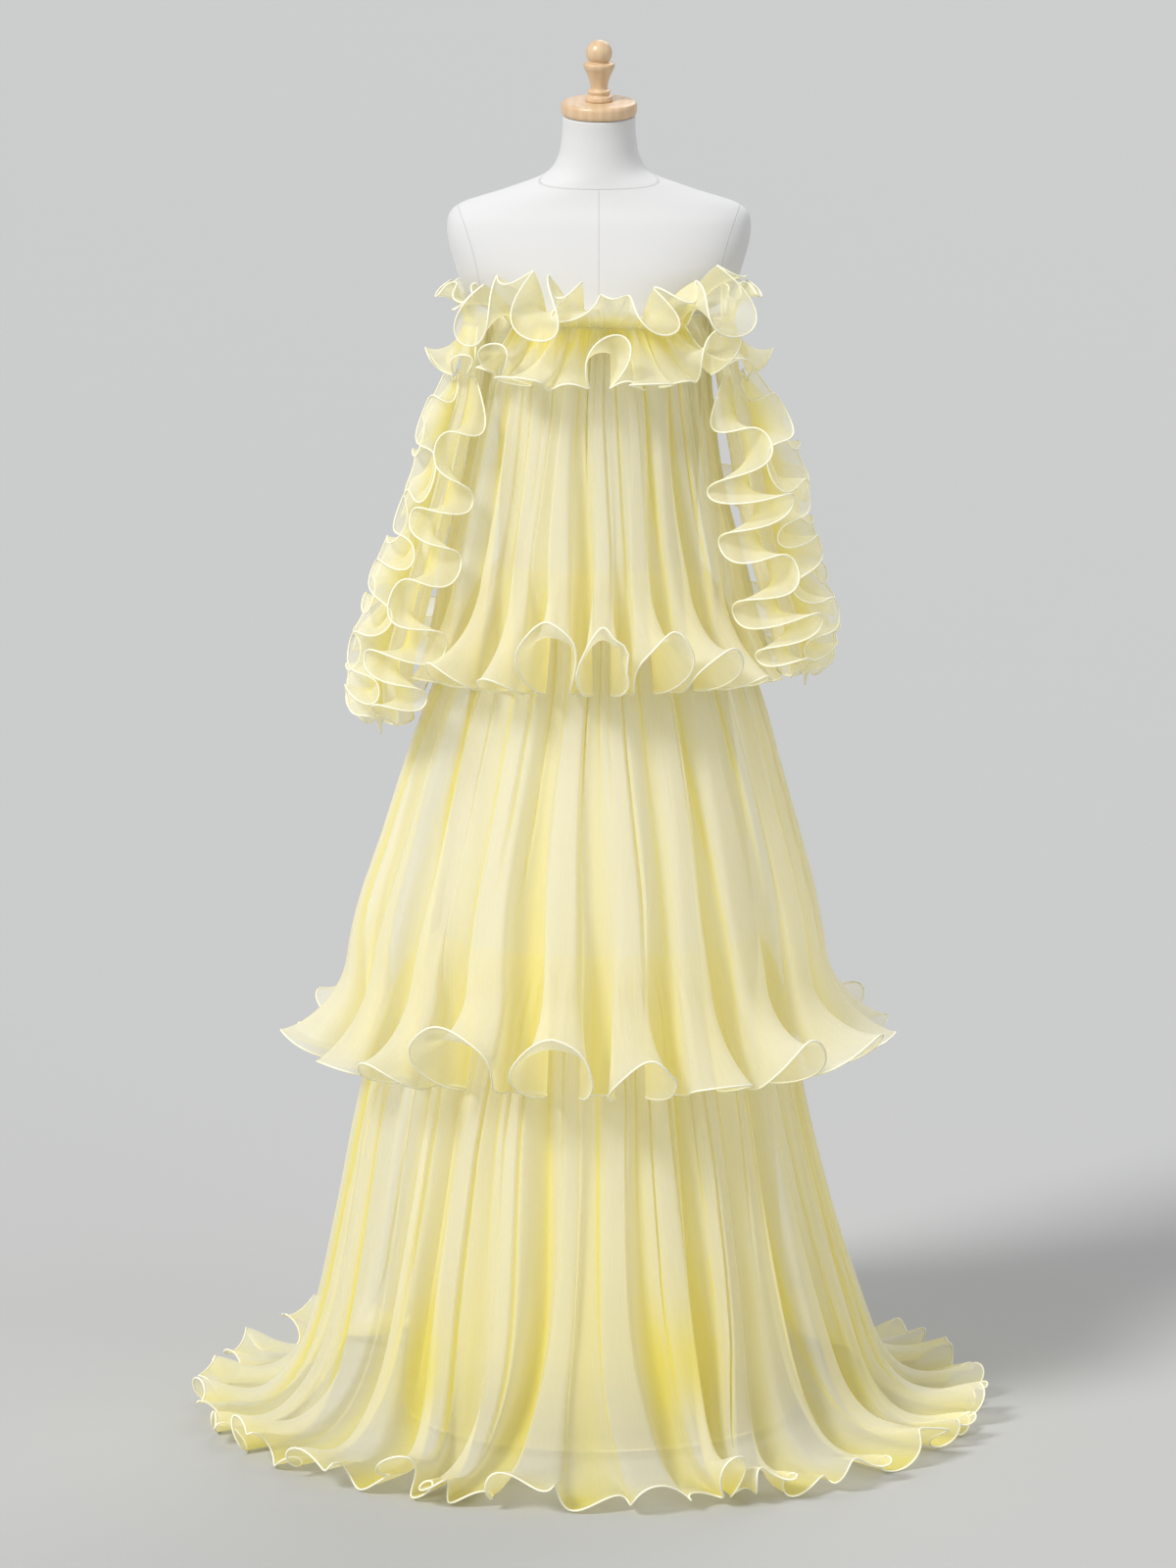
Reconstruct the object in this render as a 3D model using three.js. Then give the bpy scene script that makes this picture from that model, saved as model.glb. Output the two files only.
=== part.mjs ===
import * as THREE from 'three';

// An evening dress of sheer pale yellow organza on a limbless dress form. Millimetres, +Z up, front
// towards -Y. The origin is the centre of the stand's underside. Angles run round the vertical axis:
// 0 degrees is the front, 90 is +X, 180 is the back and -90 is -X.

const CLOTH_WALL = 1.5; // wall of every cloth piece
const SEAT_GAP = 0.25; // clearance of a ruffle's wall from the wall that carries it
const NECK_SEAT = CLOTH_WALL + SEAT_GAP; // from the first tier's reach to the middle of a neck ruffle
const SLEEVE_SEAT = CLOTH_WALL + SEAT_GAP + 1.15; // the same on a sleeve, with room for its flat facets
const FIRST_ROW_SEAT = CLOTH_WALL + SEAT_GAP + 0.55; // the same for the short row at a sleeve's top
const SEAM_GAP = 0.3; // clearance between two panels at a seam
const BODY_SIDES = 32; // facets round the form and the slip
const COLUMNS_PER_FOLD = 5;
const COLUMNS_PER_NECK_WAVE = 8;
const COLUMNS_PER_SLEEVE_WAVE = 4;
const DEGREE = Math.PI / 180;

// The dress form: half width, front and back depth of each level, with the neck leaning forwards.
const FORM_LEVELS = [
  { z: 862, left: 124, right: 124, front: 88, back: 92, lean: 0, tilt: 0, fullness: 2 },
  { z: 872, left: 138, right: 138, front: 100, back: 104, lean: 0, tilt: 0, fullness: 2 },
  { z: 950, left: 158, right: 158, front: 112, back: 122, lean: 0, tilt: 0, fullness: 2 },
  { z: 1010, left: 152, right: 152, front: 108, back: 116, lean: 0, tilt: 0, fullness: 2 },
  { z: 1100, left: 124, right: 124, front: 94, back: 90, lean: 0, tilt: 0, fullness: 2 },
  { z: 1180, left: 113, right: 113, front: 90, back: 80, lean: 0, tilt: 0, fullness: 2 },
  { z: 1270, left: 120, right: 120, front: 108, back: 88, lean: 0, tilt: 0, fullness: 2 },
  { z: 1355, left: 129, right: 129, front: 126, back: 98, lean: 0, tilt: 0, fullness: 2 },
  { z: 1410, left: 134, right: 134, front: 118, back: 102, lean: 0, tilt: 0, fullness: 2 },
  { z: 1440, left: 137, right: 137, front: 110, back: 104, lean: 0, tilt: 0, fullness: 2 },
  { z: 1456, left: 164, right: 164, front: 103, back: 103, lean: 0, tilt: 0, fullness: 2 },
  { z: 1500, left: 183, right: 183, front: 92, back: 98, lean: 0, tilt: 0, fullness: 2.5 },
  { z: 1551, left: 193, right: 193, front: 76, back: 88, lean: 0, tilt: 0, fullness: 2.6 },
  { z: 1576, left: 178, right: 178, front: 64, back: 76, lean: 0, tilt: 0, fullness: 2.4 },
  { z: 1596, left: 118, right: 118, front: 58, back: 68, lean: 0, tilt: 0, fullness: 2.2 },
  { z: 1614, left: 70, right: 70, front: 54, back: 58, lean: -2, tilt: 2, fullness: 2 },
  { z: 1634, left: 53, right: 53, front: 50, back: 52, lean: -5, tilt: 5, fullness: 2 },
  { z: 1664, left: 47, right: 47, front: 46, back: 47, lean: -10, tilt: 8, fullness: 2 },
  { z: 1688, left: 46, right: 46, front: 45, back: 46, lean: -14, tilt: 10, fullness: 2 },
];

// Half profile of the wooden neck cap and of the turned finial, from the cap's underside upwards.
const CAP_RADIUS = 48;
const CAP_THICKNESS = 18;
const CAP_EDGE = 5;
const CAP_CHAMFER = 1.5;
const CAP_SIDES = 24;
const FINIAL_PROFILE = [
  { up: 0, radius: 16.5 },
  { up: 6, radius: 16.5 },
  { up: 8, radius: 13.5 },
  { up: 13, radius: 14.5 },
  { up: 16, radius: 11 },
  { up: 26, radius: 12.5 },
  { up: 38, radius: 17 },
  { up: 43, radius: 19.5 },
  { up: 48, radius: 19.5 },
  { up: 50, radius: 13 },
];
const FINIAL_SIDES = 14;
const BALL_RADIUS = 16.5;
const BALL_CENTRE = 61;
const BALL_RINGS = [-40, -10, 20, 45, 68]; // degrees above the ball's middle
const BALL_TOP_RADIUS = 2;

const POLE_RADIUS = 14;
const POLE_SIDES = 12;
const BASE_RADIUS = 150;
const BASE_THICKNESS = 12;
const BASE_BEVEL = 3;
const BASE_SIDES = 24;

// The slip that the tiers are sewn to: half widths and depths of the middle of its wall.
const SLIP_LEVELS = [
  { z: 1440, left: 138.5, right: 138.5, front: 111.5, back: 105.5 },
  { z: 1410, left: 136.6, right: 136.6, front: 120.4, back: 104.6 },
  { z: 1355, left: 131.2, right: 131.2, front: 128.2, back: 100.2 },
  { z: 1120, left: 130, right: 130, front: 121, back: 98 },
  { z: 950, left: 166, right: 166, front: 145, back: 132 },
  { z: 640, left: 205, right: 205, front: 196, back: 188 },
  { z: 400, left: 226, right: 226, front: 226, back: 228 },
  { z: 14, left: 256, right: 256, front: 256, back: 268 },
];

// Each tier's outer reach, from its gathered top at 0 to its hem at 1. pleat is the share of a fold's
// full depth at that level, and rise lifts the folds where the hem lies on the floor.
const TIER_1_LEVELS = [
  { at: 0, z: 1436, left: 140.2, right: 140.2, front: 114.8, back: 107.4, pleat: 0, rise: 0 },
  { at: 0.06, z: 1410, left: 141, right: 141, front: 128, back: 111, pleat: 0.06, rise: 0 },
  { at: 0.18, z: 1355, left: 141, right: 139, front: 148, back: 118, pleat: 0.24, rise: 0 },
  { at: 0.5, z: 1211, left: 175, right: 160, front: 180, back: 150, pleat: 0.55, rise: 0 },
  { at: 0.78, z: 1085, left: 206, right: 197, front: 214, back: 186, pleat: 0.85, rise: 0 },
  { at: 1, z: 975, left: 225, right: 222, front: 244, back: 220, pleat: 1, rise: 0 },
];
const TIER_2_LEVELS = [
  { at: 0, z: 1120, left: 132, right: 132, front: 123, back: 100, pleat: 0, rise: 0 },
  { at: 0.055, z: 1085, left: 152, right: 150, front: 150, back: 122, pleat: 0.1, rise: 0 },
  { at: 0.19, z: 1000, left: 190, right: 184, front: 178, back: 156, pleat: 0.3, rise: 0 },
  { at: 0.275, z: 945, left: 214, right: 205, front: 200, back: 177, pleat: 0.42, rise: 0 },
  { at: 0.42, z: 850, left: 248, right: 232, front: 238, back: 222, pleat: 0.6, rise: 0 },
  { at: 0.56, z: 766, left: 275, right: 256, front: 268, back: 254, pleat: 0.75, rise: 0 },
  { at: 0.76, z: 637, left: 318, right: 290, front: 306, back: 302, pleat: 0.9, rise: 0 },
  { at: 1, z: 482, left: 346, right: 322, front: 345, back: 345, pleat: 1, rise: 0 },
];
const TIER_3_LEVELS = [
  { at: 0, z: 640, left: 207, right: 207, front: 198, back: 190, pleat: 0, rise: 0 },
  { at: 0.05, z: 600, left: 245, right: 222, front: 224, back: 216, pleat: 0.12, rise: 0 },
  { at: 0.15, z: 520, left: 282, right: 243, front: 256, back: 248, pleat: 0.3, rise: 0 },
  { at: 0.28, z: 417, left: 308, right: 262, front: 288, back: 290, pleat: 0.5, rise: 0 },
  { at: 0.46, z: 273, left: 336, right: 299, front: 323, back: 334, pleat: 0.72, rise: 0 },
  { at: 0.62, z: 141, left: 366, right: 342, front: 358, back: 380, pleat: 0.92, rise: 0 },
  { at: 0.7, z: 78, left: 392, right: 366, front: 384, back: 414, pleat: 0.95, rise: 6 },
  { at: 0.78, z: 30, left: 428, right: 400, front: 418, back: 456, pleat: 0.8, rise: 20 },
  { at: 0.88, z: 7, left: 474, right: 448, front: 462, back: 508, pleat: 0.6, rise: 32 },
  { at: 1, z: 1.2, left: 526, right: 504, front: 512, back: 562, pleat: 0.5, rise: 40 },
];

// One row per fold, left to right. at is its angle, depth its fall from ridge to valley at the hem,
// curl how far its sides close into a flute, lift how far the hem turns out, turn where it looks.
const TIER_1_FRONT = [
  { at: -81, depth: 16, curl: 0.12, lift: 8, turn: 0 },
  { at: -62, depth: 26, curl: 0.25, lift: 40, turn: 0 },
  { at: -44, depth: 38, curl: 0.36, lift: 82, turn: -8 },
  { at: -29, depth: 34, curl: 0.3, lift: 66, turn: 0 },
  { at: -14, depth: 54, curl: 0.46, lift: 148, turn: 4 },
  { at: 1, depth: 46, curl: 0.42, lift: 142, turn: 0 },
  { at: 15, depth: 50, curl: 0.44, lift: 134, turn: 10 },
  { at: 31, depth: 44, curl: 0.38, lift: 108, turn: 8 },
  { at: 48, depth: 34, curl: 0.28, lift: 58, turn: 0 },
  { at: 65, depth: 28, curl: 0.3, lift: 34, turn: -10 },
  { at: 82, depth: 15, curl: 0.12, lift: 8, turn: 0 },
];
const TIER_1_BACK = [
  { at: 98, depth: 15, curl: 0.12, lift: 8, turn: 0 },
  { at: 119, depth: 32, curl: 0.3, lift: 84, turn: 0 },
  { at: 141, depth: 44, curl: 0.4, lift: 128, turn: -8 },
  { at: 162, depth: 38, curl: 0.34, lift: 72, turn: 0 },
  { at: 184, depth: 48, curl: 0.42, lift: 140, turn: 6 },
  { at: 206, depth: 40, curl: 0.36, lift: 96, turn: 0 },
  { at: 229, depth: 42, curl: 0.36, lift: 122, turn: 8 },
  { at: 250, depth: 26, curl: 0.26, lift: 20, turn: 0 },
  { at: 264, depth: 14, curl: 0.1, lift: 8, turn: 0 },
];
const TIER_2_FRONT = [
  { at: -83, depth: 34, curl: 0.2, lift: 76, turn: 0 },
  { at: -61, depth: 42, curl: 0.3, lift: 58, turn: 0 },
  { at: -45, depth: 44, curl: 0.34, lift: 84, turn: 0 },
  { at: -28, depth: 62, curl: 0.46, lift: 146, turn: -4 },
  { at: -8, depth: 58, curl: 0.44, lift: 140, turn: 0 },
  { at: 7, depth: 54, curl: 0.4, lift: 112, turn: 8 },
  { at: 24, depth: 48, curl: 0.34, lift: 66, turn: 0 },
  { at: 40, depth: 52, curl: 0.38, lift: 118, turn: 0 },
  { at: 60, depth: 50, curl: 0.34, lift: 98, turn: 14 },
  { at: 82, depth: 36, curl: 0.2, lift: 72, turn: 0 },
];
const TIER_2_BACK = [
  { at: 101, depth: 42, curl: 0.3, lift: 70, turn: 0 },
  { at: 121, depth: 54, curl: 0.42, lift: 126, turn: -6 },
  { at: 141, depth: 48, curl: 0.34, lift: 62, turn: 0 },
  { at: 161, depth: 58, curl: 0.44, lift: 140, turn: 0 },
  { at: 181, depth: 50, curl: 0.36, lift: 88, turn: 8 },
  { at: 202, depth: 56, curl: 0.42, lift: 132, turn: 0 },
  { at: 222, depth: 48, curl: 0.34, lift: 64, turn: 0 },
  { at: 242, depth: 50, curl: 0.4, lift: 118, turn: 6 },
  { at: 260, depth: 38, curl: 0.24, lift: 56, turn: 0 },
];
const TIER_3_FRONT = [
  { at: -84, depth: 36, curl: 0.2, lift: 34, turn: 0 },
  { at: -71, depth: 40, curl: 0.28, lift: 20, turn: 0 },
  { at: -58, depth: 52, curl: 0.34, lift: 42, turn: 0 },
  { at: -46, depth: 46, curl: 0.3, lift: 26, turn: 0 },
  { at: -33, depth: 66, curl: 0.38, lift: 46, turn: 0 },
  { at: -21, depth: 48, curl: 0.3, lift: 22, turn: 0 },
  { at: -8, depth: 58, curl: 0.36, lift: 36, turn: 0 },
  { at: 5, depth: 50, curl: 0.3, lift: 20, turn: 0 },
  { at: 17, depth: 64, curl: 0.38, lift: 50, turn: 0 },
  { at: 29, depth: 54, curl: 0.34, lift: 34, turn: 0 },
  { at: 42, depth: 46, curl: 0.3, lift: 24, turn: 0 },
  { at: 55, depth: 50, curl: 0.32, lift: 44, turn: 0 },
  { at: 69, depth: 40, curl: 0.26, lift: 24, turn: 0 },
  { at: 83, depth: 34, curl: 0.2, lift: 40, turn: 0 },
];
const TIER_3_BACK = [
  { at: 97, depth: 36, curl: 0.24, lift: 28, turn: 0 },
  { at: 112, depth: 46, curl: 0.32, lift: 40, turn: 0 },
  { at: 127, depth: 42, curl: 0.28, lift: 24, turn: 0 },
  { at: 142, depth: 54, curl: 0.36, lift: 46, turn: 0 },
  { at: 157, depth: 44, curl: 0.3, lift: 26, turn: 0 },
  { at: 172, depth: 52, curl: 0.34, lift: 42, turn: 0 },
  { at: 187, depth: 48, curl: 0.3, lift: 30, turn: 0 },
  { at: 202, depth: 56, curl: 0.36, lift: 46, turn: 0 },
  { at: 217, depth: 44, curl: 0.28, lift: 24, turn: 0 },
  { at: 232, depth: 50, curl: 0.34, lift: 42, turn: 0 },
  { at: 247, depth: 42, curl: 0.28, lift: 28, turn: 0 },
  { at: 262, depth: 36, curl: 0.2, lift: 36, turn: 0 },
];

// How each tier is cut into rows of facets, the length of its hem that turns out into lips, and how far
// its folds swirl to either side above the floor, in degrees.
const TIERS = [
  {
    name: 'tier_1',
    levels: TIER_1_LEVELS,
    front: TIER_1_FRONT,
    back: TIER_1_BACK,
    lip: 118,
    swirl: 0,
    rows: [0, 0.1, 0.42, 0.745, 0.872, 1],
    colour: 0xf3efb0,
  },
  {
    name: 'tier_2',
    levels: TIER_2_LEVELS,
    front: TIER_2_FRONT,
    back: TIER_2_BACK,
    lip: 128,
    swirl: 0,
    rows: [0, 0.07, 0.36, 0.8, 0.9, 1],
    colour: 0xf1eca6,
  },
  {
    name: 'tier_3',
    levels: TIER_3_LEVELS,
    front: TIER_3_FRONT,
    back: TIER_3_BACK,
    lip: 0,
    swirl: 5,
    rows: [0, 0.06, 0.3, 0.62, 0.72, 0.81, 0.9, 1],
    colour: 0xeee89c,
  },
];
const SIDE_SHARE = 0.2; // how much of a lip opens along the fold's own side, the rest being outwards
const LIP_STEP = 0.01; // step in folds for the direction of a fold's side
const LIP_NARROWING = 1.3; // over 1, a lip's bend falls off faster from its ridge than the ridge does
const LEAST_BEND = 1; // bend of the hem at a valley, in degrees
const FULL_RISE_LIFT = 40; // the lift of a fold that gets the whole rise of its level
const FLUTE_CLOSING = 1.3; // how much of its curl a fold has at the hem
const SWIRL_PACE = 1.7; // how fast the swirl changes from fold to fold, in radians
const SWIRL_START = 0.8;
const SWIRL_TOP = 0.5; // where down a tier its folds start to swirl, and where they have swirled fully
const SWIRL_END = 0.95;

// One row per wave of the neck ruffles, left to right. at is its angle, length the cloth's at its ridge,
// lean the slant in which that leaves the seam, bend the arc that it goes on along, curl how far its sides
// close into a flute, turn how far its edge looks aside, valley the share of the length at its edges.
const NECK_UPPER_FRONT = [
  { at: -45, length: 100, lean: 40, bend: 110, curl: 1, turn: -6, valley: 0.72 },
  { at: -23, length: 120, lean: 38, bend: 96, curl: 1.2, turn: 4, valley: 0.92 },
  { at: -2, length: 88, lean: 30, bend: 84, curl: 0.8, turn: -12, valley: 0.6 },
  { at: 18, length: 74, lean: 40, bend: 92, curl: 0.8, turn: 8, valley: 0.56 },
  { at: 43, length: 122, lean: 36, bend: 98, curl: 1.2, turn: 4, valley: 0.84 },
];
const NECK_UPPER_BACK = [
  { at: 148, length: 96, lean: 36, bend: 96, curl: 0.9, turn: 4, valley: 0.8 },
  { at: 170, length: 84, lean: 34, bend: 88, curl: 0.8, turn: -6, valley: 0.64 },
  { at: 191, length: 106, lean: 38, bend: 100, curl: 1, turn: 5, valley: 0.86 },
  { at: 212, length: 88, lean: 34, bend: 90, curl: 0.8, turn: -4, valley: 0.7 },
];
const NECK_LOWER_FRONT = [
  { at: -43, length: 96, lean: 24, bend: 92, curl: 0.9, turn: 6, valley: 0.64 },
  { at: -22, length: 112, lean: 20, bend: 64, curl: 1, turn: -8, valley: 0.74 },
  { at: 0, length: 100, lean: 26, bend: 104, curl: 0.9, turn: 6, valley: 0.8 },
  { at: 20, length: 112, lean: 18, bend: 60, curl: 1.1, turn: -5, valley: 0.72 },
  { at: 42, length: 104, lean: 26, bend: 108, curl: 1.1, turn: 4, valley: 0.66 },
];
const NECK_LOWER_BACK = [
  { at: 143, length: 88, lean: 22, bend: 84, curl: 0.8, turn: -5, valley: 0.7 },
  { at: 168, length: 102, lean: 18, bend: 66, curl: 0.9, turn: -4, valley: 0.78 },
  { at: 192, length: 92, lean: 24, bend: 96, curl: 0.8, turn: 4, valley: 0.7 },
  { at: 216, length: 98, lean: 18, bend: 70, curl: 0.8, turn: 4, valley: 0.7 },
];

// Each ruffle of the neck between its two end angles. up is 1 for one that stands and -1 for one that hangs.
const NECK_RUFFLES = [
  { at: 'upper_front', waves: NECK_UPPER_FRONT, from: -56, to: 56, z: 1429, up: 1 },
  { at: 'upper_back', waves: NECK_UPPER_BACK, from: 138, to: 222, z: 1429, up: 1 },
  { at: 'lower_front', waves: NECK_LOWER_FRONT, from: -54, to: 54, z: 1424, up: -1 },
  { at: 'lower_back', waves: NECK_LOWER_BACK, from: 131, to: 229, z: 1424, up: -1 },
];
const VALLEY_LEAN = 10; // degrees in which a neck ruffle leaves its seam at a valley
const VALLEY_BEND = 22; // and the arc that it goes on along there
const NECK_CLOSING = 0.7; // how much of its curl a wave has at its free edge

// The two hanging sleeves: where the middle of the tube lies, its half width and its half depth, and the
// width of the frills that are sewn down it.
const SLEEVE_SIDES = 12;
const SLEEVE_LEFT = [
  { z: 1434, x: -155.7, y: -14, across: 14.5, along: 46, frill: 20 },
  { z: 1337, x: -165.5, y: -27, across: 15, along: 54, frill: 32 },
  { z: 1286, x: -178, y: -33, across: 15.5, along: 56, frill: 38 },
  { z: 1211, x: -195, y: -40, across: 16, along: 58, frill: 36 },
  { z: 1087, x: -230, y: -49, across: 18, along: 61, frill: 50 },
  { z: 990, x: -255, y: -53, across: 19, along: 64, frill: 48 },
  { z: 925, x: -256, y: -54, across: 20, along: 66, frill: 40 },
];
const SLEEVE_RIGHT = [
  { z: 1434, x: 155.6, y: -14, across: 14.5, along: 46, frill: 26 },
  { z: 1362, x: 164, y: -24, across: 16, along: 53, frill: 32 },
  { z: 1268, x: 184, y: -34, across: 19, along: 57, frill: 56 },
  { z: 1190, x: 197, y: -40, across: 19, along: 59, frill: 54 },
  { z: 1115, x: 215, y: -42, across: 19, along: 61, frill: 56 },
  { z: 1050, x: 235, y: -42, across: 19, along: 62, frill: 52 },
  { z: 985, x: 244, y: -41, across: 17, along: 63, frill: 30 },
];

// The two short rows of ruffle round the top of a sleeve. Each runs round the tube between its back and
// front angles, counted from the outer side, and leaves free the stretch that faces the dress.
const SLEEVE_RUFFLES = [
  { z: 1429, length: 54, rest: 34, swing: 66, waves: 3, curl: 0.34, up: 1, back: -58, front: 92 },
  { z: 1424, length: 62, rest: 22, swing: 84, waves: 3, curl: 0.34, up: -1, back: -96, front: 100 },
];

// The frills sewn down a sleeve below those rows. base is the angle of the seam on the tube, towards the
// angle in which the frill stands out, seat how far from the middle of the tube's wall it starts, which grows
// with the slant between the two, sway how far its free edge leans to either side in degrees, lag how far its
// waves start ahead of the others, and width its share of the level's frill width.
const FRILL_TOP = 1362;
const FRILL_WAVES = 5;
const FRILL_CURL = 0.1; // how far its sides close into flutes at the free edge
const FRILL_DROOP = 0.2; // fall of the free edge for each millimetre that it stands out
const FRILL_SAG = 12; // how much lower the free edge hangs where it leans inwards, and higher outwards
const FRILL_STRETCH = 0.25; // how much longer the first wave is than an even one, and the last shorter
const SLEEVE_FRILLS = [
  { base: 90, towards: 92, seat: 1.35, sway: 84, lag: 0, width: 1.4 },
  { base: 30, towards: 46, seat: 2.9, sway: 66, lag: 0.2, width: 1.1 },
  { base: 0, towards: 4, seat: 2.1, sway: 62, lag: 0.55, width: 1 },
  { base: -30, towards: -42, seat: 2.65, sway: 62, lag: 0.8, width: 1.1 },
  { base: -90, towards: -90, seat: 1.3, sway: 78, lag: 0.1, width: 1.35 },
];
const RUFFLE_ROWS = [0, 0.5, 1];
const WAVE_UNEVENNESS = 0.12; // how far the waves of a ruffle stray from an even spacing, in waves

const COLOURS = {
  linen: 0xefeeec,
  maple: 0xe2c496,
  steel: 0x9b9da0,
  slip: 0xf4f0c4,
  sleeve: 0xf4f1c0,
  ruffle: 0xf5f1b8,
};
const CLOTH_FINISH = { roughness: 0.75, metalness: 0 };
const LINEN_FINISH = { roughness: 0.9, metalness: 0 };
const WOOD_FINISH = { roughness: 0.45, metalness: 0 };
const STEEL_FINISH = { roughness: 0.5, metalness: 0.6 };

/** The direction at an angle in radians round the vertical axis, 0 being the front. */
function outward(angle) {
  return new THREE.Vector3(Math.sin(angle), -Math.cos(angle), 0);
}

/** One column of a table at a place between its rows, on a smooth curve through them. */
function readColumn(rows, key, place, name) {
  const steps = rows.length - 1;
  const rising = rows[steps][key] > rows[0][key];
  let i = 0;
  while (i < steps - 1 && (rising ? place > rows[i + 1][key] : place < rows[i + 1][key])) {
    i += 1;
  }
  const slope = (k) => {
    const before = rows[Math.max(k - 1, 0)];
    const after = rows[Math.min(k + 1, steps)];
    return (after[name] - before[name]) / (after[key] - before[key]);
  };
  const width = rows[i + 1][key] - rows[i][key];
  const s = THREE.MathUtils.clamp((place - rows[i][key]) / width, 0, 1);
  const start = rows[i][name];
  const change = rows[i + 1][name] - start;
  const easeOut = slope(i) * width * s * (1 - s) * (1 - s);
  const easeIn = slope(i + 1) * width * s * s * (1 - s);
  return start + change * s * s * (3 - 2 * s) + easeOut - easeIn;
}

/** A table's row at a place between its rows, with every named column. */
function readRow(rows, key, place, names) {
  return Object.fromEntries(names.map((name) => [name, readColumn(rows, key, place, name)]));
}

/** How far a level reaches from the axis at an angle: four quarter ellipses, squarer with more fullness. */
function reach(level, angle, fullness = 2) {
  const across = Math.abs(Math.sin(angle)) / (Math.sin(angle) < 0 ? level.left : level.right);
  const along = Math.abs(Math.cos(angle)) / (Math.cos(angle) > 0 ? level.front : level.back);
  return (across ** fullness + along ** fullness) ** (-1 / fullness);
}

/** The evenly spaced angles of a ring, in radians. */
function ringAngles(sides) {
  return Array.from({ length: sides }, (_, i) => (2 * Math.PI * i) / sides);
}

/** A mesh from lists of vertices and triangles. */
function meshFrom(name, vertices, triangles, colour, finish) {
  const geometry = new THREE.BufferGeometry();
  const numbers = vertices.flatMap((point) => [point.x, point.y, point.z]);
  geometry.setAttribute('position', new THREE.Float32BufferAttribute(numbers, 3));
  geometry.setIndex(triangles.flat());
  geometry.computeVertexNormals();
  const mesh = new THREE.Mesh(geometry, new THREE.MeshStandardMaterial({ color: colour, ...finish }));
  mesh.name = name;
  return mesh;
}

/** A solid through rings of equal length, closed at both ends by a fan. */
function loft(name, rings, colour, finish) {
  const sides = rings[0].length;
  const vertices = rings.flat();
  const triangles = [];
  for (let j = 0; j + 1 < rings.length; j += 1) {
    for (let i = 0; i < sides; i += 1) {
      const low = j * sides + i;
      const lowNext = j * sides + ((i + 1) % sides);
      triangles.push([low, lowNext, lowNext + sides], [low, lowNext + sides, low + sides]);
    }
  }
  const centre = (ring) => ring.reduce((sum, p) => sum.add(p), new THREE.Vector3()).divideScalar(sides);
  const bottom = vertices.push(centre(rings[0])) - 1;
  const top = vertices.push(centre(rings[rings.length - 1])) - 1;
  const topStart = (rings.length - 1) * sides;
  for (let i = 0; i < sides; i += 1) {
    const next = (i + 1) % sides;
    triangles.push([bottom, next, i], [top, topStart + i, topStart + next]);
  }
  return meshFrom(name, vertices, triangles, colour, finish);
}

/** The unit normals of a grid of points, from its neighbours along and across. */
function gridNormals(grid, closed) {
  const last = grid.length - 1;
  return grid.map((line, i) => {
    const before = closed ? grid[(i + last) % (last + 1)] : grid[Math.max(i - 1, 0)];
    const after = closed ? grid[(i + 1) % (last + 1)] : grid[Math.min(i + 1, last)];
    return line.map((_, j) => {
      const across = after[j].clone().sub(before[j]);
      const along = line[Math.min(j + 1, line.length - 1)].clone().sub(line[Math.max(j - 1, 0)]);
      return along.cross(across).normalize();
    });
  });
}

/** The unit normals of a sharply creased grid: at each point the mean of the facets that meet there. */
function facetNormals(grid) {
  const normals = grid.map((line) => line.map(() => new THREE.Vector3()));
  for (let i = 0; i + 1 < grid.length; i += 1) {
    for (let j = 0; j + 1 < grid[i].length; j += 1) {
      const facets = [
        [[i, j], [i, j + 1], [i + 1, j + 1]],
        [[i, j], [i + 1, j + 1], [i + 1, j]],
      ];
      facets.forEach((corners) => {
        const [a, b, c] = corners.map(([column, row]) => grid[column][row]);
        const facet = b.clone().sub(a).cross(c.clone().sub(a)).normalize();
        corners.forEach(([column, row]) => normals[column][row].add(facet));
      });
    }
  }
  return normals.map((line) => line.map((normal) => normal.normalize()));
}

/** Gives a grid of points its wall. flatEnds keeps both end faces in the plane across the panel. */
function clothWall(name, grid, { closed = false, flatEnds = false, creased = false, colour }) {
  const normals = creased ? facetNormals(grid) : gridNormals(grid, closed);
  if (flatEnds) {
    [normals[0], normals[normals.length - 1]].forEach((line) => {
      line.forEach((normal) => normal.setY(0).normalize());
    });
  }
  const columns = grid.length;
  const rows = grid[0].length;
  const side = (sign) => {
    const shift = (sign * CLOTH_WALL) / 2;
    return grid.map((line, i) => line.map((p, j) => p.clone().addScaledVector(normals[i][j], shift)));
  };
  const vertices = [...side(1).flat(), ...side(-1).flat()];
  const outer = (i, j) => (i % columns) * rows + j;
  const inner = (i, j) => columns * rows + outer(i, j);
  const triangles = [];
  const quad = (a, b, c, d) => triangles.push([a, b, c], [a, c, d]);
  const spans = closed ? columns : columns - 1;
  for (let i = 0; i < spans; i += 1) {
    for (let j = 0; j < rows - 1; j += 1) {
      quad(outer(i, j), outer(i, j + 1), outer(i + 1, j + 1), outer(i + 1, j));
      quad(inner(i, j), inner(i + 1, j), inner(i + 1, j + 1), inner(i, j + 1));
    }
    quad(outer(i, 0), outer(i + 1, 0), inner(i + 1, 0), inner(i, 0));
    quad(outer(i + 1, rows - 1), outer(i, rows - 1), inner(i, rows - 1), inner(i + 1, rows - 1));
  }
  if (!closed) {
    for (let j = 0; j < rows - 1; j += 1) {
      quad(outer(0, j + 1), outer(0, j), inner(0, j), inner(0, j + 1));
      quad(outer(spans, j), outer(spans, j + 1), inner(spans, j + 1), inner(spans, j));
    }
  }
  return meshFrom(name, vertices, triangles, colour, CLOTH_FINISH);
}

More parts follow.
